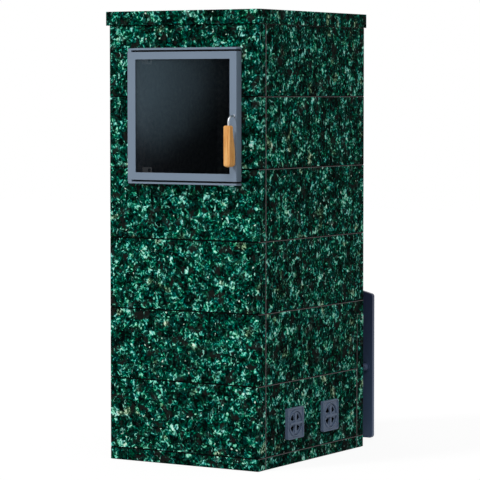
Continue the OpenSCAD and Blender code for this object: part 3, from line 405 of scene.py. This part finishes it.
# Oiled beech: straight grain along the grip, warm and pale, with short darker pores
beechLook = {
    "grainMm": (2.4, 70.0),             # width and length
    "grainDetail": 3.0,
    "grainShape": {"Distortion": 0.5},
    "stops": [(0.3, "#eab672"), (0.5, "#dd9f57"), (0.72, "#c07c38")],
    "poreMm": (0.9, 9.0),
    "poreDetail": 1.0,
    "poreRange": {"From Min": 0.62, "From Max": 0.75, "To Max": 0.55},
    "poreColor": "#8f5524",
    "reliefStrength": 0.25,
    "reliefM": 0.0004,
    "oil": {"Roughness": 0.42, "Specular IOR Level": 0.35},
}


def oiledBeech(s):
    material, tree, place = newMaterial("oiledBeech")
    rings = longNoise(tree, place, s["grainMm"], s["grainDetail"], shape=s["grainShape"])
    color = addNode(tree, "ShaderNodeValToRGB", links={0: rings}, stops=s["stops"]).outputs[0]
    pores = longNoise(tree, place, s["poreMm"], s["poreDetail"])
    pores = addNode(tree, "ShaderNodeMapRange", links={"Value": pores, **s["poreRange"]}).outputs[0]
    color = addNode(tree, "ShaderNodeMix", data_type="RGBA",
                    links={0: pores, 6: color, 7: hexColor(s["poreColor"])}).outputs[2]
    bump = addNode(tree, "ShaderNodeBump",
                   links={"Height": rings, "Strength": s["reliefStrength"],
                          "Distance": s["reliefM"]}).outputs[0]
    finishMaterial(tree, {"Base Color": color, **s["oil"], "Normal": bump})
    return material


# Drawn steel rod and zinc plate: metal with fine marks in its gloss
metalMarks = {
    "detail": 4.0,
    "toneRange": {"To Min": 0.9, "To Max": 1.08},       # darkest and palest share of the colour
}


def bareMetal(name, color, markMm, roughness, spread):
    s = metalMarks
    material, tree, place = newMaterial(name)
    marks = addNode(tree, "ShaderNodeTexNoise",
                    links={"Vector": place, "Scale": perMetre(markMm),
                           "Detail": s["detail"]}).outputs["Fac"]
    gloss = addNode(tree, "ShaderNodeMapRange",
                    links={"Value": marks, "To Min": roughness - spread,
                           "To Max": roughness + spread}).outputs[0]
    tone = addNode(tree, "ShaderNodeMapRange", links={"Value": marks, **s["toneRange"]}).outputs[0]
    tone = addNode(tree, "ShaderNodeVectorMath", operation="SCALE",
                   links={0: hexColor(color)[:3], "Scale": tone}).outputs[0]
    finishMaterial(tree, {"Base Color": tone, "Metallic": 1.0, "Roughness": gloss})
    return material


# Dark ceramic glass: smooth and smoky, with a bluish patch of painted light that is strongest in one upper corner
glassPaintedLight = {
    "corner": (-0.150, 1.105),      # x and z of the painted light's strongest spot, in metres
    "reach": (0.309, 0.2475),       # how far the painted light spreads sideways and up and down
    "filmMm": 90,
    "filmDetail": 3.0,
    "ragged": 0.3,                  # how far the noise moves the painted light's edge, in reaches
    # reaches at which the painted light is gone and is full
    "fade": {"From Min": 1.25, "From Max": 0.3},
    "thick": "#42525b",
    "thin": "#030506",
    "surface": {"Roughness": 0.08, "Specular IOR Level": 0.02, "Alpha": 0.45},
}


def smokyCeramicGlass(s):
    material, tree, place = newMaterial("smokyCeramicGlass")
    away = addNode(tree, "ShaderNodeVectorMath", operation="SUBTRACT",
                   links={0: place, 1: (s["corner"][0], 0, s["corner"][1])}).outputs[0]
    away = addNode(tree, "ShaderNodeVectorMath", operation="MULTIPLY",
                   links={0: away, 1: (1 / s["reach"][0], 0, 1 / s["reach"][1])}).outputs[0]
    away = addNode(tree, "ShaderNodeVectorMath", operation="LENGTH", links={0: away}).outputs["Value"]
    edgeNoise = addNode(tree, "ShaderNodeTexNoise",
                   links={"Vector": place, "Scale": perMetre(s["filmMm"]),
                          "Detail": s["filmDetail"]}).outputs["Fac"]
    away = addNode(tree, "ShaderNodeMath", operation="MULTIPLY_ADD",
                   links={0: edgeNoise, 1: s["ragged"], 2: away}).outputs[0]
    paintedLight = addNode(tree, "ShaderNodeMapRange", interpolation_type="SMOOTHSTEP",
                   links={"Value": away, **s["fade"]}).outputs[0]
    # painted light over the glass's own dark colour
    tone = addNode(tree, "ShaderNodeMix", data_type="RGBA",
                   links={0: paintedLight, 6: hexColor(s["thin"]), 7: hexColor(s["thick"])}).outputs[2]
    finishMaterial(tree, {"Base Color": tone, **s["surface"]})
    material.surface_render_method = "BLENDED"
    return material


# Grainy mineral or cast surfaces: three tones, a grain size and a relief
mineralLook = {
    "cloudGrains": 8,                   # size of the clouds, counted in grains
    "cloudDetail": 4.0,
    "tonePlaces": (0.32, 0.52, 0.7),
    "grainDetail": 3.0,
    "grainShape": {"Roughness": 0.65},
    "speckRange": {"From Min": 0.35, "From Max": 0.7, "To Min": 0.8, "To Max": 1.18},
    "sootRagged": 0.2,                  # metres by which the clouds move the soot's edge
    "sootColor": "#15130f",
    "reliefStrength": 0.6,
    "specular": 0.25,
}


def grainySurface(name, tones, grainMm, bumpMm, roughness, soot=None, bare=None):
    s = mineralLook
    material, tree, place = newMaterial(name)
    coarse = addNode(tree, "ShaderNodeTexNoise",
                     links={"Vector": place, "Scale": perMetre(grainMm * s["cloudGrains"]),
                            "Detail": s["cloudDetail"]}).outputs["Fac"]
    color = addNode(tree, "ShaderNodeValToRGB",
                    links={0: coarse}, stops=list(zip(s["tonePlaces"], tones))).outputs[0]
    fine = addNode(tree, "ShaderNodeTexNoise",
                   links={"Vector": place, "Scale": perMetre(grainMm), "Detail": s["grainDetail"],
                          **s["grainShape"]}).outputs["Fac"]
    speck = addNode(tree, "ShaderNodeMapRange", links={"Value": fine, **s["speckRange"]}).outputs[0]
    color = addNode(tree, "ShaderNodeVectorMath", operation="SCALE",
                    links={0: color, "Scale": speck}).outputs[0]
    if soot:
        height = addNode(tree, "ShaderNodeSeparateXYZ", links={0: place}).outputs[2]
        ragged = addNode(tree, "ShaderNodeMath", operation="MULTIPLY_ADD",
                         links={0: coarse, 1: s["sootRagged"], 2: height}).outputs[0]
        mask = addNode(tree, "ShaderNodeMapRange",
                       links={"Value": ragged, "From Min": soot["low"], "From Max": soot["high"],
                              "To Max": soot["most"]}).outputs[0]
        color = addNode(tree, "ShaderNodeMix", data_type="RGBA",
                        links={0: mask, 6: color, 7: hexColor(s["sootColor"])}).outputs[2]
    if bare:
        inside = addNode(tree, "ShaderNodeVectorMath", operation="SUBTRACT",
                         links={0: place, 1: bare["middle"]}).outputs[0]
        inside = addNode(tree, "ShaderNodeVectorMath", operation="ABSOLUTE", links={0: inside}).outputs[0]
        inside = addNode(tree, "ShaderNodeVectorMath", operation="DIVIDE",
                         links={0: inside, 1: bare["half"]}).outputs[0]
        parts = addNode(tree, "ShaderNodeSeparateXYZ", links={0: inside}).outputs
        most = addNode(tree, "ShaderNodeMath", operation="MAXIMUM",
                       links={0: parts[0], 1: parts[1]}).outputs[0]
        most = addNode(tree, "ShaderNodeMath", operation="LESS_THAN", links={0: most, 1: 1.0}).outputs[0]
        color = addNode(tree, "ShaderNodeMix", data_type="RGBA",
                        links={0: most, 6: color, 7: hexColor(bare["color"])}).outputs[2]
    bump = addNode(tree, "ShaderNodeBump",
                   links={"Height": fine, "Strength": s["reliefStrength"],
                          "Distance": bumpMm / 1000}).outputs[0]
    finishMaterial(tree, {"Base Color": color, "Roughness": roughness, "Specular IOR Level": s["specular"],
                          "Normal": bump})
    return material


# Painted shade on the frame plate in the gaps between the hoods and the door. Places are in metres.
hoodGapShade = {"axis": 2, "middle": 1.0, "near": 0.1827, "far": 0.1878, "deep": -0.3085, "color": "#05080e"}
# Painted shade on the walls behind the vents' windows. It stops short of the frames' floor, so that closed
# dampers don't look open.
ventInsideShade = {"axis": 0, "middle": 0.0, "near": 0.2, "far": 0.2563, "deep": -1.0, "color": "#0b0c0f",
              "between": (0, -0.0115, 0.1185),      # point halfway between the two vents of a side
              "apart": (0, 0.1015, 0),              # from that point to a vent's middle
              "radius": 0.0335}
# The two lugs in the neck are bare bright steel
lugFaces = {"middle": (-0.132, -0.2895, 0.0), "half": (0.0155, 0.0025, 1.0), "color": "#e2e6ea"}
# Painted shade: the portal's colour is darker toward the top, where less light gets in behind the stone
portalShadeFade = {"low": 0.12, "high": 0.47, "color": "#2c3350"}
# The firebricks are sooty toward the top
brickSoot = {"low": 0.32, "high": 0.62, "most": 0.6}
looks = {
    # paint: colour, grain and relief in mm, roughness, spread of the tone
    # grainy surface: three tones, grain and relief in mm, roughness
    # bare metal: colour, size of the marks in mm, roughness and its spread
    "cladding_stone": polishedSerpentine(stoneLook),
    # the powder coat carries painted shade in the hood gaps
    "powder_coat": paintedMetal("greyBluePowderCoat", "#728294", 2.0, 0.05, 0.5, 0.04, dark=hoodGapShade),
    # the vent paint carries painted shade behind the windows
    "vent_paint": paintedMetal("paintedCastVent", "#607088", 2.5, 0.15, 0.3, dark=ventInsideShade, sheen=0.1),
    "portal_paint": paintedMetal("darkBluePortalPaint", "#475a77", 3.0, 0.15, 0.45, fade=portalShadeFade),
    "body_steel": grainySurface("heatResistantStovePaint", ("#2c3332", "#39423f", "#434d4a"), 2.5, 0.1, 0.7),
    "door_iron": paintedMetal("blackStovePaintOnCasting", "#232427", 2.0, 0.2, 0.55),
    "grate_iron": grainySurface("rawCastIron", ("#1f1e1f", "#2c2b2c", "#3a3634"), 1.8, 0.4, 0.65),
    "chamber_steel": grainySurface("heatTintedSteel", ("#6f7686", "#838998", "#979ba6"), 1.5, 0.05, 0.45,
                                   bare=lugFaces),
    "firebrick": grainySurface("chamotteBrick", ("#a5875f", "#bd9f74", "#cdb48c"), 2.5, 0.5, 0.9,
                               soot=brickSoot),
    "heater_rock": grainySurface("splitOlivine", ("#4c544a", "#656c60", "#858a7c"), 3.5, 0.9, 0.85),
    "zinc_steel": bareMetal("zincPlatedSteel", "#b4b7ba", 7.0, 0.38, 0.1),
    "bright_steel": bareMetal("polishedSteelRod", "#c0c4c9", 1.5, 0.3, 0.06),
    "dark_glass": smokyCeramicGlass(glassPaintedLight),
    "fibre_rope": grainySurface("blackGlassFibreRope", ("#1c1c1f", "#29292d", "#36363b"), 0.8, 0.3, 0.95),
    "grip_wood": oiledBeech(beechLook),
}
for node, slotName in slotOf.items():
    for place in nodes[node].material_slots:
        place.material = looks[slotName]
print("materials made:", len(looks))


def finishPiece(name, mesh, body, slotName, *replaced):
    piece = addObject(name, mesh)
    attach(piece, body)
    if replaced:
        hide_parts(*replaced)


# Pieces that keep the shape of their node and get the small round edges of real metal, wood and brick
softEdges = {
    # node: (edge radius in mm, steps of the round)
    "steam_frame": (0.6, 2),
    "steam_door": (0.9, 2),
    "glass_retainer": (0.3, 1),
    "steam_grip": (1.2, 3),
    "steam_handle_rod": (0.5, 2),
    "stone_chamber": (0.8, 1),
    "portal_plate": (1.2, 2),
    "fuel_door": (1.2, 2),
    "fuel_grip": (1.2, 3),
    "fuel_handle_rod": (0.5, 2),
    "ash_drawer": (0.6, 1),
    "air_slide": (0.5, 2),
    "fire_grate": (1.5, 2),
    "firebricks": (2.0, 2),
    "fuel_channel": (0.8, 1),
    "flue_socket": (0.6, 2),
}
for vent in ("right_front", "right_rear", "left_front", "left_rear"):
    softEdges["vent_frame_" + vent] = (1.0, 2)
    softEdges["vent_damper_" + vent] = (0.8, 2)
edgeRule = {
    "weldM": 1e-6,                      # corners closer than this are one
    "flatDegrees": 0.4,                 # faces that meet flatter than this are joined
    "sharpDegrees": 35,                 # edges sharper than this are rounded
}


def evaluatedMesh(carrier):
    graph = bpy.context.evaluated_depsgraph_get()
    made = bpy.data.meshes.new_from_object(carrier.evaluated_get(graph), depsgraph=graph)
    bpy.data.objects.remove(carrier)
    return made


# Known fault: a joined face that has holes can fold over itself once its edges are rounded, and close a hole
def softCopy(node, radiusMm, steps, rule):
    mesh = nodes[node].data.copy()
    work = bmesh.new()
    work.from_mesh(mesh)
    bmesh.ops.remove_doubles(work, verts=work.verts, dist=rule["weldM"])
    bmesh.ops.dissolve_limit(work, angle_limit=math.radians(rule["flatDegrees"]),
                             verts=work.verts, edges=work.edges)
    work.to_mesh(mesh)
    work.free()
    mesh.shade_smooth()
    carrier = addObject(node + "Carrier", mesh)
    bevel = carrier.modifiers.new("round", "BEVEL")
    bevel.width, bevel.segments = radiusMm / 1000, steps
    bevel.limit_method, bevel.angle_limit = "ANGLE", math.radians(rule["sharpDegrees"])
    bevel.miter_outer = "MITER_ARC"
    even = carrier.modifiers.new("even", "WEIGHTED_NORMAL")
    even.keep_sharp = True
    made = evaluatedMesh(carrier)
    words = node.split("_")
    name = words[0] + "".join(w.capitalize() for w in words[1:])
    finishPiece(name, made, bodyOf[node], slotOf[node], node)


for node, (radiusMm, steps) in softEdges.items():
    softCopy(node, radiusMm, steps, edgeRule)
print("soft edged pieces:", len(softEdges))


def newTree(name, inputs):
    tree = bpy.data.node_groups.new(name, "GeometryNodeTree")
    tree.interface.new_socket("Geometry", in_out="INPUT", socket_type="NodeSocketGeometry")
    for label, kind in inputs.items():
        tree.interface.new_socket(label, in_out="INPUT", socket_type="NodeSocket" + kind)
    tree.interface.new_socket("Geometry", in_out="OUTPUT", socket_type="NodeSocketGeometry")
    return tree, addNode(tree, "NodeGroupInput").outputs


def meshFromTree(tree, values):
    carrier = addObject("treeCarrier", bpy.data.meshes.new("treeCarrier"))
    modifier = carrier.modifiers.new("tree", "NODES")
    modifier.node_group = tree
    for item in tree.interface.items_tree:
        if item.name in values:
            modifier[item.identifier] = values[item.name]
    return evaluatedMesh(carrier)


# Heater stones: split blocks with flat faces, one for each stone of the node, loosely heaped
rockPile = {
    "Columns": 4,
    "Rows": 4,
    "Layers": 3,
    "Swell": 1.16,       # how far a stone reaches past its cell before the walls stop it
    "Jitter": 0.008,
    "Roughness": 0.004,
    "Seed": 5,
    "kinds": 6,
    "cuts": 11,
    "subdivisions": 4,
    "cutReach": (0.62, 0.86),                              # where a stone of radius 1 is cut flat
    "cutBlend": 0.05,
    "leastLean": 0.01,                                     # keeps a cut from being divided by nothing
    # least and most of the random values
    "nudge": {0: (-1, -1, -0.4), 1: (1, 1, 0.4)},                # in jitters
    "turn": {0: (-0.5, -0.5, 0.0), 1: (0.5, 0.5, 6.283)},        # in radians
    "size": {0: (0.42, 0.42, 0.46), 1: (0.56, 0.56, 0.58)},      # in cells
    "gritMm": 22,
    "gritDetail": 3.0,
}


def rockKinds(tree, s, spot):
    chance = random.Random(s["Seed"])
    kinds = []
    for kind in range(s["kinds"]):
        ball = addNode(tree, "GeometryNodeMeshIcoSphere",
                       links={"Radius": 1.0, "Subdivisions": s["subdivisions"]}).outputs[0]
        reach = 1.0
        for cut in range(s["cuts"]):
            face = Vector((chance.gauss(0, 1), chance.gauss(0, 1), chance.gauss(0, 1))).normalized()
            lean = addNode(tree, "ShaderNodeVectorMath", operation="DOT_PRODUCT",
                           links={0: spot, 1: tuple(face)}).outputs["Value"]
            lean = addNode(tree, "ShaderNodeMath", operation="MAXIMUM",
                           links={0: lean, 1: s["leastLean"]}).outputs[0]
            far = addNode(tree, "ShaderNodeMath", operation="DIVIDE",
                          links={0: chance.uniform(*s["cutReach"]), 1: lean}).outputs[0]
            reach = addNode(tree, "ShaderNodeMath", operation="SMOOTH_MIN",
                            links={0: far, 1: reach, 2: s["cutBlend"]}).outputs[0]
        moved = addNode(tree, "ShaderNodeVectorMath", operation="SCALE",
                        links={0: spot, "Scale": reach}).outputs[0]
        ball = addNode(tree, "GeometryNodeSetPosition",
                       links={"Geometry": ball, "Position": moved}).outputs[0]
        kinds.append(addNode(tree, "GeometryNodeGeometryToInstance", links={0: ball}).outputs[0])
    shapes = addNode(tree, "GeometryNodeJoinGeometry")
    for kind in reversed(kinds):
        tree.links.new(kind, shapes.inputs[0])
    return shapes.outputs[0]


def rockTree(s):
    tree, given = newTree("heaterStones", {
        "Columns": "Int", "Rows": "Int", "Layers": "Int", "Swell": "Float", "Jitter": "Float",
        "Roughness": "Float", "Seed": "Int", "Low": "Vector", "High": "Vector", "Material": "Material"})
    spot = addNode(tree, "GeometryNodeInputPosition").outputs[0]
    shapes = rockKinds(tree, s, spot)
    count = addNode(tree, "ShaderNodeMath", operation="MULTIPLY",
                    links={0: given["Columns"], 1: given["Rows"]}).outputs[0]
    count = addNode(tree, "ShaderNodeMath", operation="MULTIPLY",
                    links={0: count, 1: given["Layers"]}).outputs[0]
    # each point's number gives its column, row and layer
    index = addNode(tree, "GeometryNodeInputIndex").outputs[0]
    column = addNode(tree, "ShaderNodeMath", operation="MODULO",
                     links={0: index, 1: given["Columns"]}).outputs[0]
    rest = addNode(tree, "ShaderNodeMath", operation="DIVIDE",
                   links={0: index, 1: given["Columns"]}).outputs[0]
    rest = addNode(tree, "ShaderNodeMath", operation="FLOOR", links={0: rest}).outputs[0]
    row = addNode(tree, "ShaderNodeMath", operation="MODULO", links={0: rest, 1: given["Rows"]}).outputs[0]
    layer = addNode(tree, "ShaderNodeMath", operation="DIVIDE",
                    links={0: rest, 1: given["Rows"]}).outputs[0]
    layer = addNode(tree, "ShaderNodeMath", operation="FLOOR", links={0: layer}).outputs[0]
    cellNo = addNode(tree, "ShaderNodeCombineXYZ", links={0: column, 1: row, 2: layer}).outputs[0]
    cellNo = addNode(tree, "ShaderNodeVectorMath", operation="ADD",
                     links={0: cellNo, 1: (0.5, 0.5, 0.5)}).outputs[0]
    counts = addNode(tree, "ShaderNodeCombineXYZ",
                     links={0: given["Columns"], 1: given["Rows"], 2: given["Layers"]}).outputs[0]
    room = addNode(tree, "ShaderNodeVectorMath", operation="SUBTRACT",
                   links={0: given["High"], 1: given["Low"]}).outputs[0]
    cell = addNode(tree, "ShaderNodeVectorMath", operation="DIVIDE", links={0: room, 1: counts}).outputs[0]
    middle = addNode(tree, "ShaderNodeVectorMath", operation="MULTIPLY_ADD",
                     links={0: cellNo, 1: cell, 2: given["Low"]}).outputs[0]
    jitter = addNode(tree, "FunctionNodeRandomValue", data_type="FLOAT_VECTOR",
                     links={**s["nudge"], "Seed": given["Seed"]}).outputs[0]
    middle = addNode(tree, "ShaderNodeVectorMath", operation="MULTIPLY_ADD",
                     links={0: jitter, 1: given["Jitter"], 2: middle}).outputs[0]
    points = addNode(tree, "GeometryNodePoints", links={"Count": count, "Position": middle}).outputs[0]
    turn = addNode(tree, "FunctionNodeRandomValue", data_type="FLOAT_VECTOR",
                   links={**s["turn"], "Seed": given["Seed"]}).outputs[0]
    size = addNode(tree, "FunctionNodeRandomValue", data_type="FLOAT_VECTOR",
                   links={**s["size"], "Seed": given["Seed"]}).outputs[0]
    size = addNode(tree, "ShaderNodeVectorMath", operation="MULTIPLY", links={0: size, 1: cell}).outputs[0]
    size = addNode(tree, "ShaderNodeVectorMath", operation="SCALE",
                   links={0: size, "Scale": given["Swell"]}).outputs[0]
    pick = addNode(tree, "FunctionNodeRandomValue", data_type="INT",
                   links={4: 0, 5: s["kinds"] - 1, "Seed": given["Seed"]}).outputs[2]
    heap = addNode(tree, "GeometryNodeInstanceOnPoints",
                   links={"Points": points, "Instance": shapes, "Pick Instance": True,
                          "Instance Index": pick, "Rotation": turn, "Scale": size}).outputs[0]
    heap = addNode(tree, "GeometryNodeRealizeInstances", links={0: heap}).outputs[0]
    # grit on the faces, and nothing past the walls
    grit = addNode(tree, "ShaderNodeTexNoise",
                   links={"Vector": spot, "Scale": perMetre(s["gritMm"]),
                          "Detail": s["gritDetail"]}).outputs["Color"]
    grit = addNode(tree, "ShaderNodeVectorMath", operation="SUBTRACT",
                   links={0: grit, 1: (0.5, 0.5, 0.5)}).outputs[0]
    moved = addNode(tree, "ShaderNodeVectorMath", operation="MULTIPLY_ADD",
                    links={0: grit, 1: given["Roughness"], 2: spot}).outputs[0]
    moved = addNode(tree, "ShaderNodeVectorMath", operation="MAXIMUM",
                    links={0: moved, 1: given["Low"]}).outputs[0]
    moved = addNode(tree, "ShaderNodeVectorMath", operation="MINIMUM",
                    links={0: moved, 1: given["High"]}).outputs[0]
    heap = addNode(tree, "GeometryNodeSetPosition", links={"Geometry": heap, "Position": moved}).outputs[0]
    heap = addNode(tree, "GeometryNodeSetMaterial",
                   links={"Geometry": heap, "Material": given["Material"]}).outputs[0]
    addNode(tree, "NodeGroupOutput", links={0: heap})
    return tree


rockLow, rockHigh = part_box("heater_stones")
pileValues = {key: rockPile[key] for key in
              ("Columns", "Rows", "Layers", "Swell", "Jitter", "Roughness", "Seed")}
pileMesh = meshFromTree(rockTree(rockPile), {**pileValues, "Low": tuple(rockLow), "High": tuple(rockHigh),
                                             "Material": looks["heater_rock"]})
finishPiece("heaterStones", pileMesh, "root", "heater_rock", "heater_stones")
print("heater stones:", len(pileMesh.polygons), "faces")

# Gasket rope: three strands that wind round each other in a flat band along the edge of each opening
gasketRope = {
    "bandMm": 8,
    "strands": 3,
    "Strand": 0.0009,                   # radius of a strand, in metres
    "pitch": 0.011,                     # metres along the rope for one turn
    "corner": 0.004,                    # radius of the path's corners, in metres
    "cornerSteps": 6,
    "strandSides": 6,
    "stepsPerTurn": 9,
}


def ropeTree(s):
    tree, given = newTree("gasketRope", {
        "Width": "Float", "Height": "Float", "Corner": "Float", "Turns": "Float", "Half Band": "Float",
        "Half Depth": "Float", "Strand": "Float", "Steps": "Int", "Middle": "Vector", "Material": "Material"})
    path = addNode(tree, "GeometryNodeCurvePrimitiveQuadrilateral",
                   links={"Width": given["Width"], "Height": given["Height"]}).outputs[0]
    path = addNode(tree, "GeometryNodeFilletCurve", mode="POLY",
                   links={"Curve": path, "Radius": given["Corner"], "Count": s["cornerSteps"]}).outputs[0]
    path = addNode(tree, "GeometryNodeTransform",
                   links={"Geometry": path, "Translation": given["Middle"],
                          "Rotation": (math.pi / 2, 0, 0)}).outputs[0]
    path = addNode(tree, "GeometryNodeResampleCurve",
                   links={"Curve": path, "Count": given["Steps"]}).outputs[0]
    along = addNode(tree, "GeometryNodeSplineParameter").outputs["Factor"]
    tangent = addNode(tree, "GeometryNodeInputTangent").outputs[0]
    outward = addNode(tree, "ShaderNodeVectorMath", operation="CROSS_PRODUCT",
                      links={0: tangent, 1: (0, 1, 0)}).outputs[0]
    angle = addNode(tree, "ShaderNodeMath", operation="MULTIPLY",
                    links={0: along, 1: given["Turns"]}).outputs[0]
    ring = addNode(tree, "GeometryNodeCurvePrimitiveCircle",
                   links={"Resolution": s["strandSides"], "Radius": given["Strand"]}).outputs[0]
    joined = addNode(tree, "GeometryNodeJoinGeometry")
    for strand in range(s["strands"]):
        phase = addNode(tree, "ShaderNodeMath", operation="MULTIPLY_ADD",
                        links={0: angle, 1: 2 * math.pi, 2: strand * 2 * math.pi / s["strands"]}).outputs[0]
        across = addNode(tree, "ShaderNodeMath", operation="COSINE", links={0: phase}).outputs[0]
        across = addNode(tree, "ShaderNodeMath", operation="MULTIPLY",
                         links={0: across, 1: given["Half Band"]}).outputs[0]
        deep = addNode(tree, "ShaderNodeMath", operation="SINE", links={0: phase}).outputs[0]
        deep = addNode(tree, "ShaderNodeMath", operation="MULTIPLY",
                       links={0: deep, 1: given["Half Depth"]}).outputs[0]
        side = addNode(tree, "ShaderNodeVectorMath", operation="SCALE",
                       links={0: outward, "Scale": across}).outputs[0]
        up = addNode(tree, "ShaderNodeCombineXYZ", links={0: 0.0, 1: deep, 2: 0.0}).outputs[0]
        offset = addNode(tree, "ShaderNodeVectorMath", operation="ADD", links={0: side, 1: up}).outputs[0]
        wound = addNode(tree, "GeometryNodeSetPosition",
                        links={"Geometry": path, "Offset": offset}).outputs[0]
        wound = addNode(tree, "GeometryNodeCurveToMesh",
                        links={"Curve": wound, "Profile Curve": ring}).outputs[0]
        tree.links.new(wound, joined.inputs[0])
    smooth = addNode(tree, "GeometryNodeSetShadeSmooth", links={0: joined.outputs[0]}).outputs[0]
    rope = addNode(tree, "GeometryNodeRealizeInstances", links={0: smooth}).outputs[0]
    rope = addNode(tree, "GeometryNodeSetMaterial",
                   links={"Geometry": rope, "Material": given["Material"]}).outputs[0]
    addNode(tree, "NodeGroupOutput", links={0: rope})
    return tree


def gasket(name, tree, s, node):
    low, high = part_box(node)
    middle = (low + high) / 2
    width, height = high.x - low.x - s["bandMm"] / 1000, high.z - low.z - s["bandMm"] / 1000
    turns = round(2 * (width + height) / s["pitch"])
    mesh = meshFromTree(tree, {
        "Width": width, "Height": height, "Corner": s["corner"], "Turns": float(turns), "Strand": s["Strand"],
        "Half Band": s["bandMm"] / 2000 - s["Strand"], "Half Depth": (high.y - low.y) / 2 - s["Strand"],
        "Steps": turns * s["stepsPerTurn"], "Middle": tuple(middle), "Material": looks["fibre_rope"]})
    finishPiece(name, mesh, bodyOf[node], "fibre_rope", node)
    print(name, "has", turns, "turns and", len(mesh.polygons), "faces")


rope = ropeTree(gasketRope)
gasket("steamGasket", rope, gasketRope, "steam_gasket")
gasket("fuelGasket", rope, gasketRope, "fuel_gasket")

# Studio: a pale floor, a broad lamp from the front left, a weaker one from the upper right,
# and even light all round
studio = {
    "lamps": {
        # name: (strength, degrees from the steam door's normal to the right, degrees up, spread in degrees)
        "keyLamp": (1.5, -28.0, 34.0, 14.0),
        "sideLamp": (0.75, 27.0, 48.0, 20.0),
    },
    "lampAway": 6,            # metres
    "ambient": 0.46,
    "floorHalf": 14.0,        # metres
    "floorBounce": 0.6,       # grey of the floor for the light that it throws back on the stove
    "floorShade": 0.12,       # share of the floor that takes light and shadow
    "shadeBright": 0.8,       # how bright the lit share comes out, which the glow makes up to white
}
white = (1, 1, 1, 1)


def makeLamps(s):
    for name, (strength, azimuth, elevation, spread) in s["lamps"].items():
        light = bpy.data.lights.new(name, "SUN")
        light.energy, light.angle = strength, math.radians(spread)
        lamp = addObject(name, light)
        toward = direction(azimuth, elevation)
        lamp.rotation_euler = toward.to_track_quat("Z", "Y").to_euler()
        lamp.location = toward * s["lampAway"]


# 1 for what the camera sees, also in a mirror or through glass, and 0 for the light that falls on the stove
def seenRays(tree):
    path = addNode(tree, "ShaderNodeLightPath").outputs
    seen = addNode(tree, "ShaderNodeMath", operation="MAXIMUM",
                   links={0: path["Is Camera Ray"], 1: path["Is Glossy Ray"]}).outputs[0]
    return addNode(tree, "ShaderNodeMath", operation="MAXIMUM",
                   links={0: seen, 1: path["Is Transmission Ray"]}).outputs[0]


def makeWorld(s):
    world = bpy.data.worlds.new("studio")
    tree = emptyTree(world)
    scene.world = world
    seen = seenRays(tree)
    soft = addNode(tree, "ShaderNodeBackground",
                   links={"Color": white, "Strength": s["ambient"]}).outputs[0]
    plain = addNode(tree, "ShaderNodeBackground", links={"Color": white, "Strength": 1.0}).outputs[0]
    both = addNode(tree, "ShaderNodeMixShader", links={0: seen, 1: soft, 2: plain}).outputs[0]
    addNode(tree, "ShaderNodeOutputWorld", links={"Surface": both})


def makeFloor(s):
    mesh = bpy.data.meshes.new("paleFloor")
    half = s["floorHalf"]
    corners = [(-half, -half, 0), (half, -half, 0), (half, half, 0), (-half, half, 0)]
    mesh.from_pydata(corners, [], [(0, 1, 2, 3)])
    floor = addObject("paleFloor", mesh)
    material = bpy.data.materials.new("palePaintedFloor")
    tree = emptyTree(material)
    seen = seenRays(tree)
    plain = addNode(tree, "ShaderNodeBsdfDiffuse", links={"Color": (*[s["floorBounce"]] * 3, 1)}).outputs[0]
    shaded = addNode(tree, "ShaderNodeBsdfDiffuse", links={"Color": (*[s["floorShade"]] * 3, 1)}).outputs[0]
    glow = addNode(tree, "ShaderNodeEmission",
                   links={"Color": white, "Strength": 1 - s["shadeBright"] * s["floorShade"]}).outputs[0]
    pale = addNode(tree, "ShaderNodeAddShader", links={0: shaded, 1: glow}).outputs[0]
    both = addNode(tree, "ShaderNodeMixShader", links={0: seen, 1: plain, 2: pale}).outputs[0]
    addNode(tree, "ShaderNodeOutputMaterial", links={"Surface": both})
    mesh.materials.append(material)


makeLamps(studio)
makeWorld(studio)
makeFloor(studio)
print("studio lit")
